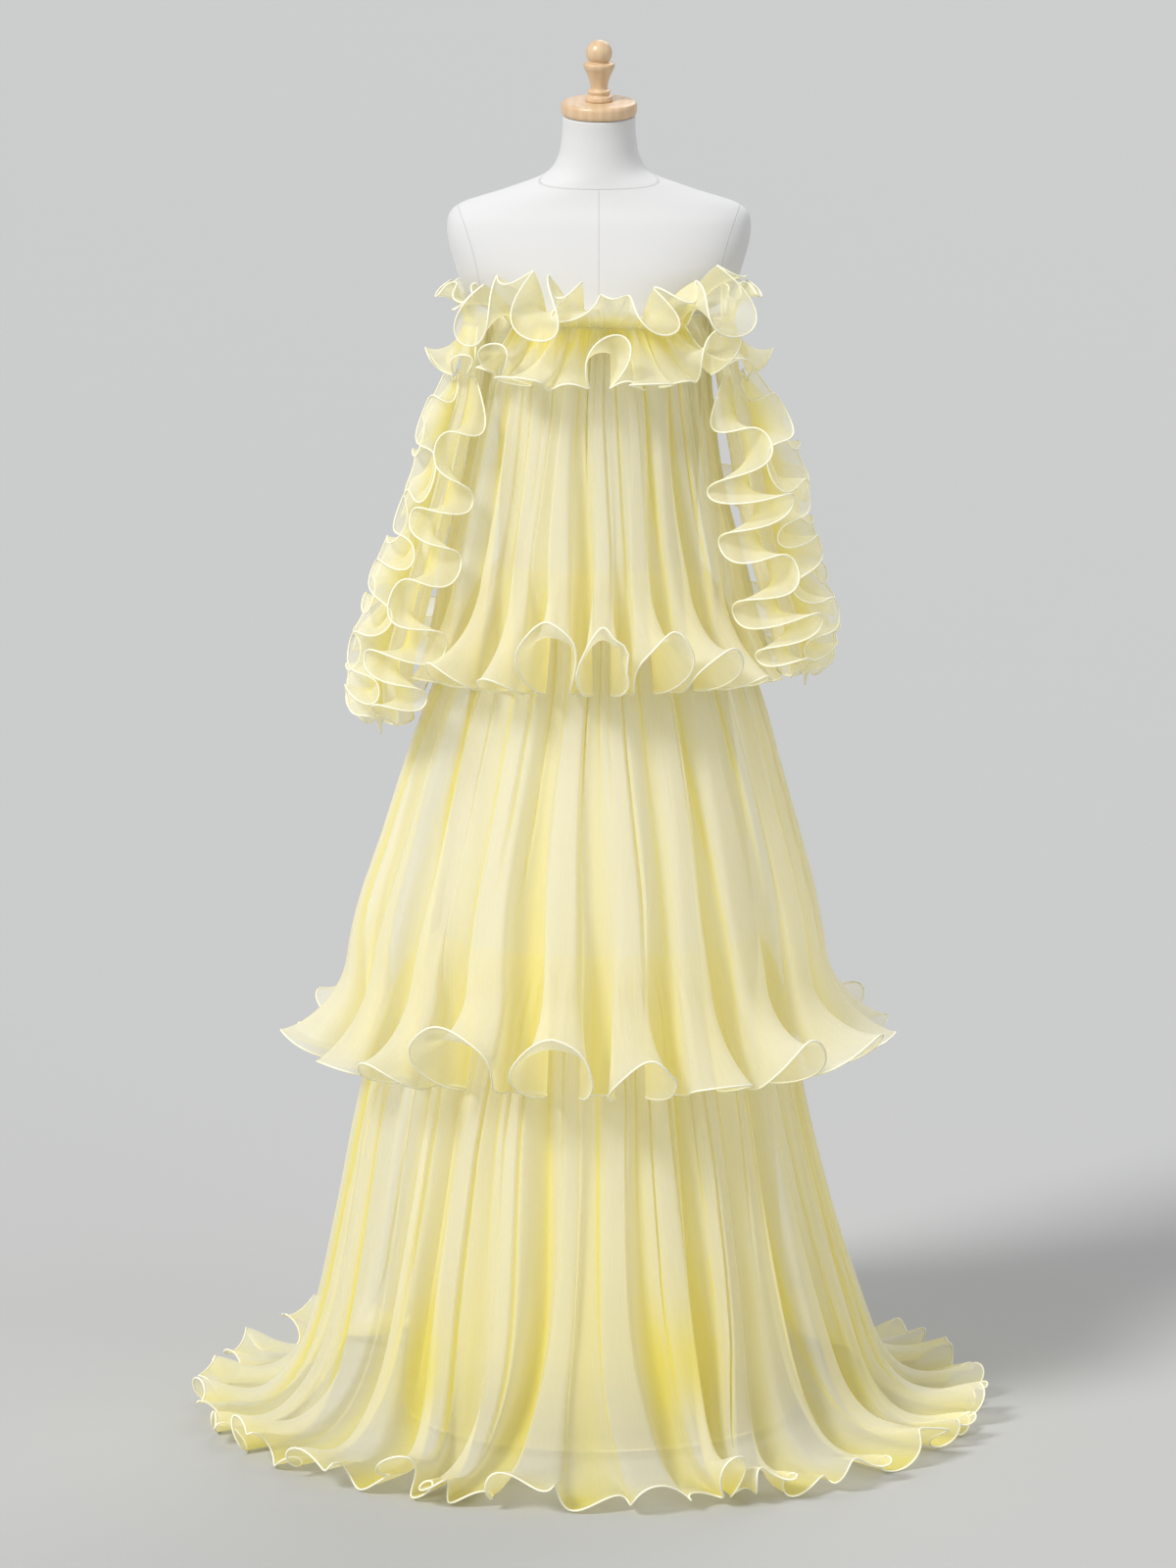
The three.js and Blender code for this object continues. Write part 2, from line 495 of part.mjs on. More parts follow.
/** The dress form's torso: rings through its levels, tilted where the neck leans. */
function torso() {
  const rings = FORM_LEVELS.map((level) =>
    ringAngles(BODY_SIDES).map((angle) => {
      const point = outward(angle).multiplyScalar(reach(level, angle, level.fullness));
      const z = level.z + Math.tan(level.tilt * DEGREE) * point.y;
      return new THREE.Vector3(point.x, point.y + level.lean, z);
    }),
  );
  return loft('form_torso', rings, COLOURS.linen, LINEN_FINISH);
}

/** A turned solid from a half profile of radius and height, closed on the axis. */
function turned(name, profile, sides, colour, finish) {
  const outline = [[0, profile[0][1]], ...profile, [0, profile[profile.length - 1][1]]];
  const geometry = new THREE.LatheGeometry(outline.map(([r, z]) => new THREE.Vector2(r, z)), sides);
  geometry.rotateX(Math.PI / 2);
  const mesh = new THREE.Mesh(geometry, new THREE.MeshStandardMaterial({ color: colour, ...finish }));
  mesh.name = name;
  return mesh;
}

/** The wooden neck cap and its finial, set square on the tilted neck. */
function neckTop() {
  const top = FORM_LEVELS[FORM_LEVELS.length - 1];
  const group = new THREE.Group();
  group.position.set(0, top.lean, top.z + SEAM_GAP);
  group.rotation.x = top.tilt * DEGREE;
  const cap = turned(
    'neck_cap',
    [
      [CAP_RADIUS - CAP_EDGE, 0],
      [CAP_RADIUS - CAP_CHAMFER, CAP_CHAMFER],
      [CAP_RADIUS, CAP_EDGE],
      [CAP_RADIUS, CAP_THICKNESS - CAP_EDGE],
      [CAP_RADIUS - CAP_CHAMFER, CAP_THICKNESS - CAP_CHAMFER],
      [CAP_RADIUS - CAP_EDGE, CAP_THICKNESS],
    ],
    CAP_SIDES,
    COLOURS.maple,
    WOOD_FINISH,
  );
  const stem = FINIAL_PROFILE.map(({ up, radius }) => [radius, up]);
  const ball = BALL_RINGS.map((degrees) => [
    BALL_RADIUS * Math.cos(degrees * DEGREE),
    BALL_CENTRE + BALL_RADIUS * Math.sin(degrees * DEGREE),
  ]);
  const outline = [...stem, ...ball, [BALL_TOP_RADIUS, BALL_CENTRE + BALL_RADIUS]];
  const finial = turned('finial', outline, FINIAL_SIDES, COLOURS.maple, WOOD_FINISH);
  finial.position.z = CAP_THICKNESS + SEAM_GAP;
  group.add(cap, finial);
  return group;
}

/** The round base plate and the pole that carry the form. */
function stand() {
  const group = new THREE.Group();
  const base = turned(
    'stand_base',
    [
      [BASE_RADIUS, 0],
      [BASE_RADIUS, BASE_THICKNESS - BASE_BEVEL],
      [BASE_RADIUS - BASE_BEVEL, BASE_THICKNESS],
    ],
    BASE_SIDES,
    COLOURS.steel,
    STEEL_FINISH,
  );
  const poleBottom = BASE_THICKNESS + SEAM_GAP;
  const poleTop = FORM_LEVELS[0].z - SEAM_GAP;
  const outline = [
    [POLE_RADIUS, poleBottom],
    [POLE_RADIUS, poleTop],
  ];
  const pole = turned('stand_pole', outline, POLE_SIDES, COLOURS.steel, STEEL_FINISH);
  group.add(base, pole);
  return group;
}

/** The slip: a plain flared tube that hangs from the bust. */
function slip() {
  const grid = ringAngles(BODY_SIDES).map((angle) =>
    SLIP_LEVELS.map((level) => {
      const point = outward(angle).multiplyScalar(reach(level, angle));
      return point.setZ(level.z);
    }),
  );
  return clothWall('slip', grid, { closed: true, colour: COLOURS.slip });
}

/** The fold that a place along a strip falls in, with its numbers blended into its neighbours'. */
function foldAt(folds, edges, place) {
  const i = THREE.MathUtils.clamp(Math.floor(place), 0, folds.length - 1);
  const phase = 2 * Math.PI * (place - i) - Math.PI;
  const own = folds[i];
  const other = folds[THREE.MathUtils.clamp(i + Math.sign(phase), 0, folds.length - 1)];
  const share = 0.5 + 0.5 * Math.cos(phase / 2) ** 2;
  const names = Object.keys(own).filter((name) => name !== 'at');
  const mixed = names.map((name) => [name, THREE.MathUtils.lerp(other[name], own[name], share)]);
  const half = phase < 0 ? own.at - edges[i] : edges[i + 1] - own.at;
  return { ...Object.fromEntries(mixed), phase, centre: own.at * DEGREE, half: half * DEGREE };
}

/** The angles where a panel's folds meet, with the panel's own ends. */
function foldEdges(folds, start, end) {
  const between = folds.slice(1).map((fold, i) => (fold.at + folds[i].at) / 2);
  return [start, ...between, end];
}

/** How far the folds of a tier have swirled to one side at a place, in radians. */
function swirlAt(tier, count, place, t) {
  const fromSeams = Math.sin((Math.PI * place) / count);
  const way = Math.sin(SWIRL_PACE * place + SWIRL_START);
  return tier.swirl * DEGREE * way * fromSeams * THREE.MathUtils.smoothstep(t, SWIRL_TOP, SWIRL_END);
}

/** A place on a tier before its hem turns out: a fold on the level's reach, its sides curled. */
function drapePoint(tier, folds, edges, place, t) {
  const fold = foldAt(folds, edges, place);
  const names = ['z', 'left', 'right', 'front', 'back', 'pleat', 'rise'];
  const level = readRow(tier.levels, 'at', t, names);
  const closing = FLUTE_CLOSING * fold.curl * t * t * Math.sin(2 * fold.phase);
  const swirl = swirlAt(tier, folds.length, place, t);
  const angle = fold.centre + (fold.half * (fold.phase + closing)) / Math.PI + swirl;
  const valley = (fold.depth * level.pleat * (1 - Math.cos(fold.phase))) / 2;
  const lifted = (level.rise * (fold.lift / FULL_RISE_LIFT) * (1 + Math.cos(fold.phase))) / 2;
  return outward(angle)
    .multiplyScalar(reach(level, angle) - valley)
    .setZ(level.z + lifted);
}

/** The direction in which a fold's hem turns out: between straight outwards and its own side. */
function lipDirection(tier, folds, edges, place, t) {
  const before = drapePoint(tier, folds, edges, place - LIP_STEP, t);
  const after = drapePoint(tier, folds, edges, place + LIP_STEP, t);
  const side = after.sub(before).setZ(0).normalize();
  const across = new THREE.Vector3(side.y, -side.x, 0);
  const middle = drapePoint(tier, folds, edges, place, t).setZ(0).normalize();
  const fold = foldAt(folds, edges, place);
  const swung = (fold.turn * DEGREE * (1 + Math.cos(fold.phase))) / 2;
  return middle.lerp(across, SIDE_SHARE).normalize().applyAxisAngle(new THREE.Vector3(0, 0, 1), swung);
}

/** A place on a tier. Below the lip's start the cloth follows an arc that bends out of the fold. */
function tierPoint(tier, folds, edges, place, t) {
  const length = tier.levels[0].z - tier.levels[tier.levels.length - 1].z;
  const start = 1 - tier.lip / length;
  if (tier.lip === 0 || t <= start) {
    return drapePoint(tier, folds, edges, place, t);
  }
  const fold = foldAt(folds, edges, place);
  const bell = ((1 + Math.cos(fold.phase)) / 2) ** LIP_NARROWING;
  const bend = Math.max(fold.lift * bell, LEAST_BEND) * DEGREE;
  const s = (t - start) / (1 - start);
  const down = (tier.lip / bend) * Math.sin(bend * s);
  const out = (tier.lip / bend) * (1 - Math.cos(bend * s));
  const direction = lipDirection(tier, folds, edges, place, start);
  return drapePoint(tier, folds, edges, place, start + down / length).addScaledVector(direction, out);
}

/** One panel of a tier between its two side seams, which lie in the plane through both sides. */
function tierPanel(tier, part, folds, start, end) {
  const edges = foldEdges(folds, start, end);
  const steps = folds.length * COLUMNS_PER_FOLD;
  const intoPanel = part === 'front' ? -SEAM_GAP / 2 : SEAM_GAP / 2;
  const grid = Array.from({ length: steps + 1 }, (_, i) =>
    tier.rows.map((t) => tierPoint(tier, folds, edges, i / COLUMNS_PER_FOLD, t)),
  );
  [grid[0], grid[steps]].forEach((line) => line.forEach((point) => point.setY(intoPanel)));
  return clothWall(`${tier.name}_${part}`, grid, { flatEnds: true, colour: tier.colour });
}

/** The phase at a place along a ruffle, and the place's share of the whole strip, unevenly spaced. */
function wavePlace(row, place) {
  const share = place / row.waves;
  const uneven = WAVE_UNEVENNESS * Math.sin(2 * Math.PI * share * 2 + row.z) * Math.sin(Math.PI * share);
  return { phase: 2 * Math.PI * place - Math.PI, share: share + uneven / row.waves };
}

/** How far a ruffle has gone out and along at a share of its length, on an arc of its own bend. */
function ruffleArc(row, phase, t) {
  const bend = (row.rest + (row.swing * (1 + Math.cos(phase))) / 2) * DEGREE;
  return {
    out: (row.length / bend) * (1 - Math.cos(bend * t)),
    along: (row.length / bend) * Math.sin(bend * t),
  };
}

/** A place on a neck ruffle, which is sewn round the top of the first tier. */
function neckRufflePoint(row, edges, place, t) {
  const wave = foldAt(row.waves, edges, place);
  const ridge = (1 + Math.cos(wave.phase)) / 2;
  const length = wave.length * THREE.MathUtils.lerp(wave.valley, 1, ridge);
  const lean = THREE.MathUtils.lerp(VALLEY_LEAN, wave.lean, ridge) * DEGREE;
  const bend = THREE.MathUtils.lerp(VALLEY_BEND, wave.bend, ridge) * DEGREE;
  const out = (length / bend) * (Math.cos(lean) - Math.cos(lean + bend * t));
  const along = (length / bend) * (Math.sin(lean + bend * t) - Math.sin(lean));
  const closing = NECK_CLOSING * wave.curl * t * Math.sin(2 * wave.phase);
  const turned = wave.turn * DEGREE * ridge * t * t;
  const angle = wave.centre + (wave.half * (wave.phase + closing)) / Math.PI + turned;
  const z = row.z + row.up * along;
  const under = Math.min(row.up > 0 ? row.z : z, TIER_1_LEVELS[0].z);
  const level = readRow(TIER_1_LEVELS, 'z', under, ['left', 'right', 'front', 'back']);
  return outward(angle)
    .multiplyScalar(reach(level, angle) + NECK_SEAT + out)
    .setZ(z);
}

/** A neck ruffle as a wavy strip. */
function neckRuffle(row) {
  const edges = foldEdges(row.waves, row.from, row.to);
  const steps = row.waves.length * COLUMNS_PER_NECK_WAVE;
  const grid = Array.from({ length: steps + 1 }, (_, i) =>
    RUFFLE_ROWS.map((t) => neckRufflePoint(row, edges, i / COLUMNS_PER_NECK_WAVE, t)),
  );
  return clothWall(`neck_ruffle_${row.at}`, grid, { colour: COLOURS.ruffle });
}

/** A table's row at a place between its rows, on straight lines, so that it lies on the tube's facets. */
function readStraight(rows, z, names) {
  const i = THREE.MathUtils.clamp(rows.filter((row) => row.z > z).length - 1, 0, rows.length - 2);
  const next = rows[i + 1];
  const share = (rows[i].z - z) / (rows[i].z - next.z);
  const mixed = names.map((name) => [name, THREE.MathUtils.lerp(rows[i][name], next[name], share)]);
  return Object.fromEntries(mixed);
}

/** A place on a sleeve's tube, grown by a distance. The angle is 0 on the outer side, 90 in front. */
function sleevePoint(levels, angle, z, grow) {
  const level = readStraight(levels, z, ['x', 'y', 'across', 'along']);
  const outer = Math.sign(level.x);
  return new THREE.Vector3(
    level.x + outer * (level.across + grow) * Math.cos(angle),
    level.y - (level.along + grow) * Math.sin(angle),
    z,
  );
}

/** A sleeve's open tube. */
function sleeveTube(name, levels) {
  const outer = Math.sign(levels[0].x);
  const grid = ringAngles(SLEEVE_SIDES).map((angle) =>
    levels.map((level) => sleevePoint(levels, -outer * angle, level.z, 0)),
  );
  return clothWall(name, grid, { closed: true, colour: COLOURS.sleeve });
}

/** A place on a row of sleeve ruffle, which follows the tube down and stands off it. */
function sleeveRufflePoint(levels, row, place, t) {
  const { phase, share } = wavePlace(row, place);
  const { out, along } = ruffleArc(row, phase, t);
  const closing = (row.curl * t * Math.sin(2 * phase)) / (2 * Math.PI * row.waves);
  const outer = Math.sign(levels[0].x);
  const [first, last] = outer < 0 ? [row.back, row.front] : [row.front, row.back];
  const angle = THREE.MathUtils.lerp(first, last, share + closing) * DEGREE;
  const z = row.z + row.up * along;
  const seat = row.up > 0 ? FIRST_ROW_SEAT : SLEEVE_SEAT;
  return sleevePoint(levels, angle, Math.min(z, levels[0].z), seat + out).setZ(z);
}

/** One row of sleeve ruffle as a wavy strip. */
function sleeveRuffle(name, levels, row) {
  const steps = row.waves * COLUMNS_PER_SLEEVE_WAVE;
  const grid = Array.from({ length: steps + 1 }, (_, i) =>
    RUFFLE_ROWS.map((t) => sleeveRufflePoint(levels, row, i / COLUMNS_PER_SLEEVE_WAVE, t)),
  );
  return clothWall(name, grid, { colour: COLOURS.ruffle });
}

/** A place on a frill down a sleeve, whose free edge sways from side to side on an arc. */
function frillPoint(levels, frill, place, t) {
  const phase = 2 * Math.PI * (place + frill.lag);
  const share = (place - (FRILL_CURL * t * Math.sin(2 * phase)) / (2 * Math.PI)) / FRILL_WAVES;
  const stretched = share * (1 + FRILL_STRETCH * (1 - share));
  const z = THREE.MathUtils.lerp(FRILL_TOP, levels[levels.length - 1].z + CLOTH_WALL, stretched);
  const lean = frill.sway * DEGREE * Math.sin(phase);
  const bend = Math.max(Math.abs(lean), LEAST_BEND * DEGREE);
  const width = frill.width * readStraight(levels, z, ['frill']).frill;
  const out = (width / bend) * Math.sin(bend * t);
  const aside = Math.sign(lean) * (width / bend) * (1 - Math.cos(bend * t));
  const outer = Math.sign(levels[0].x);
  const facing = frill.towards * DEGREE;
  const towards = new THREE.Vector3(outer * Math.cos(facing), -Math.sin(facing), 0);
  const across = new THREE.Vector3(-outer * Math.sin(facing), -Math.cos(facing), 0);
  const seam = sleevePoint(levels, frill.base * DEGREE, z, 0);
  const point = seam.addScaledVector(towards, frill.seat + out).addScaledVector(across, aside);
  return point.setZ(z - FRILL_DROOP * out * t - FRILL_SAG * Math.sin(phase) * t * t);
}

/** One frill down a sleeve as a wavy strip. */
function sleeveFrill(name, levels, frill) {
  const steps = FRILL_WAVES * COLUMNS_PER_SLEEVE_WAVE;
  const grid = Array.from({ length: steps + 1 }, (_, i) =>
    RUFFLE_ROWS.map((t) => frillPoint(levels, frill, i / COLUMNS_PER_SLEEVE_WAVE, t)),
  );
  return clothWall(name, grid, { creased: true, colour: COLOURS.ruffle });
}

/** A sleeve with its rows of ruffle and the frills below them. */
function sleeve(side, levels) {
  const group = new THREE.Group();
  group.add(sleeveTube(`sleeve_${side}`, levels));
  SLEEVE_RUFFLES.forEach((row, i) => {
    group.add(sleeveRuffle(`sleeve_${side}_ruffle_${i + 1}`, levels, row));
  });
  SLEEVE_FRILLS.forEach((frill, i) => {
    group.add(sleeveFrill(`sleeve_${side}_ruffle_${SLEEVE_RUFFLES.length + i + 1}`, levels, frill));
  });
  return group;
}

/** The whole dress on its form. */
function dressOnForm() {
  const group = new THREE.Group();
  group.add(torso(), neckTop(), stand(), slip());
  TIERS.forEach((tier) => {
    group.add(tierPanel(tier, 'front', tier.front, -90, 90));
    group.add(tierPanel(tier, 'back', tier.back, 90, 270));
  });
  NECK_RUFFLES.forEach((row) => group.add(neckRuffle(row)));
  group.add(sleeve('left', SLEEVE_LEFT), sleeve('right', SLEEVE_RIGHT));
  return group;
}

export default dressOnForm();
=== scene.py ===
"""An evening dress of sheer yellow organza on a limbless dress form, finished over its solids.

Metres, +Z up, front towards -Y, the origin at the centre of the stand's underside. Tables are in
millimetres, and angles run round the vertical axis: 0 is the front, 90 is +X, 180 is the back.
"""

from __future__ import annotations

import logging
import math
from dataclasses import dataclass, field
from enum import Enum

import bpy
import numpy as np
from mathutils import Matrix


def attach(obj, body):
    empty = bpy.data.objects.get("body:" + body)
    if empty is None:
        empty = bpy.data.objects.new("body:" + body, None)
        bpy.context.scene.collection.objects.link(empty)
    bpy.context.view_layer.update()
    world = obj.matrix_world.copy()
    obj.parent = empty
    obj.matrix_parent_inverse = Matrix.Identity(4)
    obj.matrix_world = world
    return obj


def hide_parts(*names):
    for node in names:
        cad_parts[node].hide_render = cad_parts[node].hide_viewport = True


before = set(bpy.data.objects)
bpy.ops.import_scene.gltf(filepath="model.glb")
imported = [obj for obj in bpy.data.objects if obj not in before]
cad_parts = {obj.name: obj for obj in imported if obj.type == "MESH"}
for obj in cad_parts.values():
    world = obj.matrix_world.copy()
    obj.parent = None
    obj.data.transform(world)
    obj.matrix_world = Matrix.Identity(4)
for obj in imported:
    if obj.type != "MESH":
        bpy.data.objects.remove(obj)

Array = np.ndarray
Colour = tuple[float, float, float, float]

MM = 0.001
DEGREE = math.pi / 180
LOG = logging.getLogger("evening_dress")


# Tables, read on smooth curves


@dataclass(frozen=True)
class Table:
    """Rows of numbers under named columns, read on a smooth curve through them."""

    names: tuple[str, ...]
    rows: tuple[tuple[float, ...], ...]

    def column(self, name: str) -> Array:
        """All of a column's values."""
        place = self.names.index(name)
        return np.array([row[place] for row in self.rows], float)

    def read(self, key: str, place: Array, name: str) -> Array:
        """A column between its rows: a cubic through each pair, its slopes from the neighbours.

        Args:
            key: The column that orders the rows.
            place: Where to read, in the key column's unit.
            name: The column to read.

        Returns:
            The column's value at every place.
        """
        keys, values = self.column(key), self.column(name)
        if keys[-1] < keys[0]:
            keys, place = -keys, -place
        last = len(keys) - 1
        before = np.maximum(np.arange(last + 1) - 1, 0)
        after = np.minimum(np.arange(last + 1) + 1, last)
        slopes = (values[after] - values[before]) / (keys[after] - keys[before])
        i = np.clip(np.searchsorted(keys, place, side="right") - 1, 0, last - 1)
        width = keys[i + 1] - keys[i]
        s = np.clip((place - keys[i]) / width, 0, 1)
        eased = (values[i + 1] - values[i]) * s * s * (3 - 2 * s)
        bend = slopes[i] * width * s * (1 - s) ** 2 - slopes[i + 1] * width * s * s * (1 - s)
        return values[i] + eased + bend

    def level(self, key: str, place: Array) -> dict[str, Array]:
        """Every column but the one that orders the rows, read at the places."""
        return {name: self.read(key, place, name) for name in self.names if name != key}


@dataclass(frozen=True)
class Wobble:
    """An unevenness that runs along a piece: a sine wave of a size, a rate and a start."""

    size: float
    rate: float
    start: float = 0

    def at(self, place: Array, further: Array | float = 0) -> Array:
        """The wave's height at a place, from a further start."""
        return self.size * np.sin(self.rate * place + self.start + further)


FORM_LEVELS = Table(
    ("z", "side", "front", "back", "lean", "tilt", "fullness"),
    (
        (862, 124, 88, 92, 0, 0, 2),
        (872, 138, 100, 104, 0, 0, 2),
        (950, 158, 112, 122, 0, 0, 2),
        (1010, 152, 108, 116, 0, 0, 2),
        (1100, 124, 94, 90, 0, 0, 2),
        (1180, 113, 90, 80, 0, 0, 2),
        (1270, 120, 108, 88, 0, 0, 2),
        (1355, 129, 126, 98, 0, 0, 2),
        (1410, 134, 118, 102, 0, 0, 2),
        (1440, 137, 110, 104, 0, 0, 2),
        (1456, 164, 103, 103, 0, 0, 2),
        (1500, 183, 92, 98, 0, 0, 2.5),
        (1551, 193, 76, 88, 0, 0, 2.6),
        (1576, 178, 64, 76, 0, 0, 2.4),
        (1596, 118, 58, 68, 0, 0, 2.2),
        (1614, 70, 54, 58, -2, 2, 2),
        (1634, 53, 50, 52, -5, 5, 2),
        (1664, 47, 46, 47, -10, 8, 2),
        (1688, 46, 45, 46, -14, 10, 2),
    ),
)
NECK_TOP_Z, NECK_LEAN, NECK_TILT = 1688.3, -14, 10
CLOSED_RADIUS = 0.01
TIP_SHARE = 0.02
CAP_PROFILE = ((43, 0), (46.5, 1.5), (48, 5), (48, 13), (46.5, 16.5), (43, 18))
CAP_THICKNESS = 18.3
FINIAL_PROFILE = (
    (16.5, 0), (16.5, 6), (13.5, 8), (14.5, 13), (11, 16), (12.5, 26), (17, 38), (19.5, 43),
    (19.5, 48), (13, 50), (12.6, 50.4), (15.5, 55), (16.5, 61), (15.5, 66.6), (11.7, 72.7),
    (6.2, 76.3), (2, 77.5),
)  # fmt: skip

SLIP_LEVELS = Table(
    ("z", "left", "right", "front", "back"),
    (
        (1440, 138.5, 138.5, 111.5, 105.5),
        (1410, 136.6, 136.6, 120.4, 104.6),
        (1355, 131.2, 131.2, 128.2, 100.2),
        (1120, 130, 130, 121, 98),
        (950, 166, 166, 145, 132),
        (640, 205, 205, 196, 188),
        (400, 226, 226, 226, 228),
        (14, 256, 256, 256, 268),
    ),
)

TIER_COLUMNS = ("at", "z", "left", "right", "front", "back", "pleat", "rise")
TIER_1_LEVELS = Table(
    TIER_COLUMNS,
    (
        (0, 1436, 140.2, 140.2, 114.8, 107.4, 0, 0),
        (0.06, 1410, 141, 141, 128, 111, 0.06, 0),
        (0.18, 1355, 141, 139, 148, 118, 0.24, 0),
        (0.5, 1211, 175, 160, 180, 150, 0.55, 0),
        (0.78, 1085, 206, 197, 214, 186, 0.85, 0),
        (1, 975, 225, 222, 244, 220, 1, 0),
    ),
)
TIER_2_LEVELS = Table(
    TIER_COLUMNS,
    (
        (0, 1120, 132, 132, 123, 100, 0, 0),
        (0.055, 1085, 152, 150, 150, 122, 0.1, 0),
        (0.19, 1000, 190, 184, 178, 156, 0.3, 0),
        (0.275, 945, 214, 205, 200, 177, 0.42, 0),
        (0.42, 850, 248, 232, 238, 222, 0.6, 0),
        (0.56, 766, 275, 256, 268, 254, 0.75, 0),
        (0.76, 637, 318, 290, 306, 302, 0.9, 0),
        (1, 482, 346, 322, 345, 345, 1, 0),
    ),
)
TIER_3_LEVELS = Table(
    TIER_COLUMNS,
    (
        (0, 640, 207, 207, 198, 190, 0, 0),
        (0.05, 600, 245, 222, 224, 216, 0.12, 0),
        (0.15, 520, 282, 243, 256, 248, 0.3, 0),
        (0.28, 417, 308, 262, 288, 290, 0.5, 0),
        (0.46, 273, 336, 299, 323, 334, 0.72, 0),
        (0.62, 141, 366, 342, 358, 380, 0.92, 0),
        (0.7, 78, 392, 366, 384, 414, 0.95, 6),
        (0.78, 30, 428, 400, 418, 456, 0.8, 20),
        (0.88, 7, 474, 448, 462, 508, 0.6, 32),
        (1, 1.2, 526, 504, 512, 562, 0.5, 40),
    ),
)

FOLD_COLUMNS = ("at", "depth", "curl", "lift", "turn")
TIER_1_FRONT = Table(
    FOLD_COLUMNS,
    (
        (-81, 16, 0.12, 8, 0),
        (-62, 26, 0.25, 40, 0),
        (-44, 38, 0.36, 82, -8),
        (-29, 34, 0.3, 66, 0),
        (-14, 54, 0.46, 148, 4),
        (1, 46, 0.42, 142, 0),
        (15, 50, 0.44, 134, 10),
        (31, 44, 0.38, 108, 8),
        (48, 34, 0.28, 58, 0),
        (65, 28, 0.3, 34, -10),
        (82, 15, 0.12, 8, 0),
    ),
)
TIER_1_BACK = Table(
    FOLD_COLUMNS,
    (
        (98, 15, 0.12, 8, 0),
        (119, 32, 0.3, 84, 0),
        (141, 44, 0.4, 128, -8),
        (162, 38, 0.34, 72, 0),
        (184, 48, 0.42, 140, 6),
        (206, 40, 0.36, 96, 0),
        (229, 42, 0.36, 122, 8),
        (250, 26, 0.26, 20, 0),
        (264, 14, 0.1, 8, 0),
    ),
)
TIER_2_FRONT = Table(
    FOLD_COLUMNS,
    (
        (-83, 34, 0.2, 76, 0),
        (-61, 42, 0.3, 58, 0),
        (-45, 44, 0.34, 84, 0),
        (-28, 62, 0.46, 146, -4),
        (-8, 58, 0.44, 140, 0),
        (7, 54, 0.4, 112, 8),
        (24, 48, 0.34, 66, 0),
        (40, 52, 0.38, 118, 0),
        (60, 50, 0.34, 98, 14),
        (82, 36, 0.2, 72, 0),
    ),
)
TIER_2_BACK = Table(
    FOLD_COLUMNS,
    (
        (101, 42, 0.3, 70, 0),
        (121, 54, 0.42, 92, -6),
        (141, 48, 0.34, 62, 0),
        (161, 58, 0.44, 140, 0),
        (181, 50, 0.36, 88, 8),
        (202, 56, 0.42, 132, 0),
        (222, 48, 0.34, 64, 0),
        (242, 50, 0.4, 86, 6),
        (260, 38, 0.24, 56, 0),
    ),
)
TIER_3_FRONT = Table(
    FOLD_COLUMNS,
    (
        (-84, 36, 0.2, 34, 0),
        (-71, 40, 0.28, 20, 0),
        (-58, 52, 0.34, 42, 0),
        (-46, 46, 0.3, 26, 0),
        (-33, 66, 0.38, 46, 0),
        (-21, 48, 0.3, 22, 0),
        (-8, 58, 0.36, 36, 0),
        (5, 50, 0.3, 20, 0),
        (17, 64, 0.38, 50, 0),
        (29, 54, 0.34, 34, 0),
        (42, 46, 0.3, 24, 0),
        (55, 50, 0.32, 44, 0),
        (69, 40, 0.26, 24, 0),
        (83, 34, 0.2, 40, 0),
    ),
)
TIER_3_BACK = Table(
    FOLD_COLUMNS,
    (
        (97, 36, 0.24, 28, 0),
        (112, 46, 0.32, 40, 0),
        (127, 42, 0.28, 24, 0),
        (142, 54, 0.36, 46, 0),
        (157, 44, 0.3, 26, 0),
        (172, 52, 0.34, 42, 0),
        (187, 48, 0.3, 30, 0),
        (202, 56, 0.36, 46, 0),
        (217, 44, 0.28, 24, 0),
        (232, 50, 0.34, 42, 0),
        (247, 42, 0.28, 28, 0),
        (262, 36, 0.2, 36, 0),
    ),
)

WAVE_COLUMNS = ("at", "length", "lean", "bend", "curl", "turn", "valley")
NECK_UPPER_FRONT = Table(
    WAVE_COLUMNS,
    (
        (-45, 100, 40, 110, 1, -6, 0.72),
        (-23, 120, 38, 96, 1.2, 4, 0.92),
        (-2, 88, 30, 84, 0.8, -12, 0.6),
        (18, 74, 40, 92, 0.8, 8, 0.56),
        (43, 122, 36, 98, 1.2, 4, 0.84),
    ),
)
NECK_UPPER_BACK = Table(
    WAVE_COLUMNS,
    (
        (148, 96, 36, 96, 0.9, 4, 0.8),
        (170, 84, 34, 88, 0.8, -6, 0.64),
        (191, 106, 38, 100, 1, 5, 0.86),
        (212, 88, 34, 90, 0.8, -4, 0.7),
    ),
)
NECK_LOWER_FRONT = Table(
    WAVE_COLUMNS,
    (
        (-43, 96, 24, 92, 0.9, 6, 0.64),
        (-22, 112, 20, 64, 1, -8, 0.74),
        (0, 100, 26, 104, 0.9, 6, 0.8),
        (20, 112, 18, 60, 1.1, -5, 0.72),
        (42, 104, 26, 108, 1.1, 4, 0.66),
    ),
)
NECK_LOWER_BACK = Table(
    WAVE_COLUMNS,
    (
        (143, 88, 22, 84, 0.8, -5, 0.7),
        (168, 102, 18, 66, 0.9, -4, 0.78),
        (192, 92, 24, 96, 0.8, 4, 0.7),
        (216, 98, 18, 70, 0.8, 4, 0.7),
    ),
)

